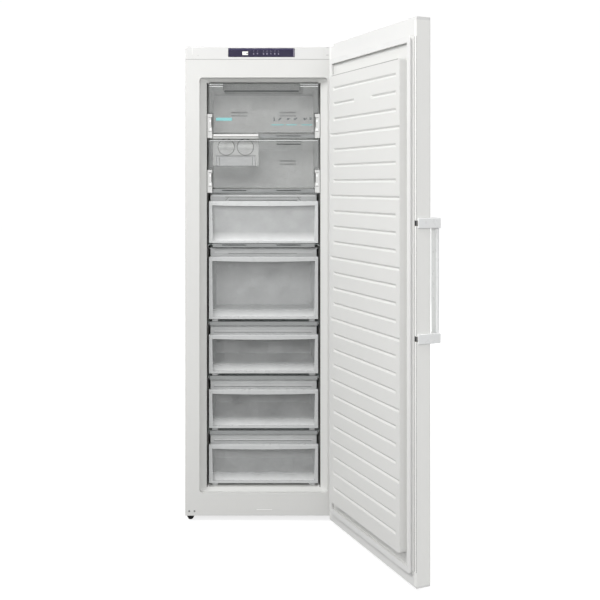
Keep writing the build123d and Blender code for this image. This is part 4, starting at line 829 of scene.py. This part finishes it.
class FREEZER_OT_stage(bpy.types.Operator):
    """Pale floor, even studio light and the camera"""

    bl_idname = "freezer.stage"
    bl_label = "Stage"

    def execute(self, context):
        scene, stage = context.scene, context.scene.freezer_stage
        ground = CAD_BOX[0][2]
        deselect()
        bpy.ops.mesh.primitive_plane_add(size=40, location=(0, 0, ground))
        floor = settle(bpy.context.object)
        floor.name = floor.data.name = "studio_floor"
        pale = Finish("studio floor", roughness=0.85, specular=0.05)
        pale.set("base color", varied(pale, stage.floor, 1.5, 0.01))
        # the floor is white as it is seen, and throws up no more light than a pale floor does
        seen = Wire(pale, pale.add("ShaderNodeLightPath", {}, {}).outputs["Is Camera Ray"])
        pale.set("emission color", pale.fade(seen, (0, 0, 0), (1, 1, 1)))
        pale.set("emission strength", stage.glow)
        dress(floor, pale.material)

        # white behind the object, and brighter light from overhead than from the sides
        world = bpy.data.worlds.new("studio")
        world.use_nodes = True
        tree = world.node_tree
        sky, white = tree.nodes["Background"], tree.nodes.new("ShaderNodeBackground")
        white.inputs["Color"].default_value = (1.02, 1.02, 1.02, 1)
        across, axes = tree.nodes.new("ShaderNodeTexCoord"), tree.nodes.new("ShaderNodeSeparateXYZ")
        rise, path = tree.nodes.new("ShaderNodeMapRange"), tree.nodes.new("ShaderNodeLightPath")
        mix = tree.nodes.new("ShaderNodeMixShader")
        rise.inputs["From Min"].default_value = 0.0
        rise.inputs["From Max"].default_value = 0.9
        rise.inputs["To Min"].default_value = stage.sky_low
        rise.inputs["To Max"].default_value = stage.sky_top
        for output, entry in (
            (across.outputs["Generated"], axes.inputs[0]), (axes.outputs[2], rise.inputs["Value"]),
            (rise.outputs[0], sky.inputs["Strength"]), (path.outputs["Is Camera Ray"], mix.inputs[0]),
            (sky.outputs[0], mix.inputs[1]), (white.outputs[0], mix.inputs[2]),
            (mix.outputs[0], tree.nodes["World Output"].inputs[0]),
        ):
            tree.links.new(output, entry)
        sky.inputs["Color"].default_value = (1, 1, 1, 1)
        scene.world = world

        for name, place, power, size in (
            ("soft_key", (-0.3, -5.0, 2.2), stage.key, (1.6, 0.7)),
            ("side_fill", (-2.0, -1.9, 3.3), stage.fill, (1.4, 1.4)),
            ("back_fill", (2.8, 4.4, 2.6), stage.back, (2.4, 2.4)),
        ):
            soft = bpy.data.lights.new(name, "AREA")
            soft.shape, soft.energy = "RECTANGLE", power
            soft.size, soft.size_y = size
            lamp = bpy.data.objects.new(name, soft)
            lamp.location = place
            aim = Vector((0.15, -0.2, 1.0)) - lamp.location
            lamp.rotation_euler = aim.to_track_quat("-Z", "Y").to_euler()
            lamp.visible_glossy = False
            scene.collection.objects.link(lamp)

        lens = bpy.data.cameras.new("camera")
        lens.lens, lens.sensor_width = stage.lens, 36
        lens.shift_x, lens.shift_y = stage.shift_x, stage.shift_y
        lens.clip_start, lens.clip_end = 0.05, 60
        camera = bpy.data.objects.new("camera", lens)
        camera.location = (0, FRONT - stage.distance, stage.height)
        camera.rotation_euler = (math.pi / 2, 0, 0)
        scene.collection.objects.link(camera)
        scene.camera = camera
        scene.view_settings.view_transform = "Standard"
        return {"FINISHED"}


STEPS = (
    FREEZER_OT_cabinet, FREEZER_OT_display, FREEZER_OT_shelves, FREEZER_OT_flaps,
    FREEZER_OT_ice_maker, FREEZER_OT_drawers, FREEZER_OT_door, FREEZER_OT_handle,
    FREEZER_OT_hardware, FREEZER_OT_machine, FREEZER_OT_stage,
)


class FREEZER_PT_steps(bpy.types.Panel):
    """Steps that dress the freezer"""

    bl_label = "Upright freezer"
    bl_idname = "FREEZER_PT_steps"
    bl_space_type = "VIEW_3D"
    bl_region_type = "UI"
    bl_category = "Freezer"

    def draw(self, context):
        for step in STEPS:
            self.layout.operator(step.bl_idname)
        scene = context.scene
        for group in (scene.freezer_finishes, scene.freezer_details, scene.freezer_stage):
            for name in group.__annotations__:
                self.layout.prop(group, name)


GROUPS = (FreezerFinishes, FreezerDetails, FreezerStage)


def register():
    for item in (*GROUPS, *STEPS, FREEZER_PT_steps):
        bpy.utils.register_class(item)
    bpy.types.Scene.freezer_finishes = PointerProperty(type=FreezerFinishes)
    bpy.types.Scene.freezer_details = PointerProperty(type=FreezerDetails)
    bpy.types.Scene.freezer_stage = PointerProperty(type=FreezerStage)


def unregister():
    del bpy.types.Scene.freezer_finishes, bpy.types.Scene.freezer_details, bpy.types.Scene.freezer_stage
    for item in reversed((*GROUPS, *STEPS, FREEZER_PT_steps)):
        bpy.utils.unregister_class(item)


def main():
    register()
    for step in STEPS:
        area, name = step.bl_idname.split(".")
        getattr(getattr(bpy.ops, area), name)()


if __name__ == "__main__":
    main()
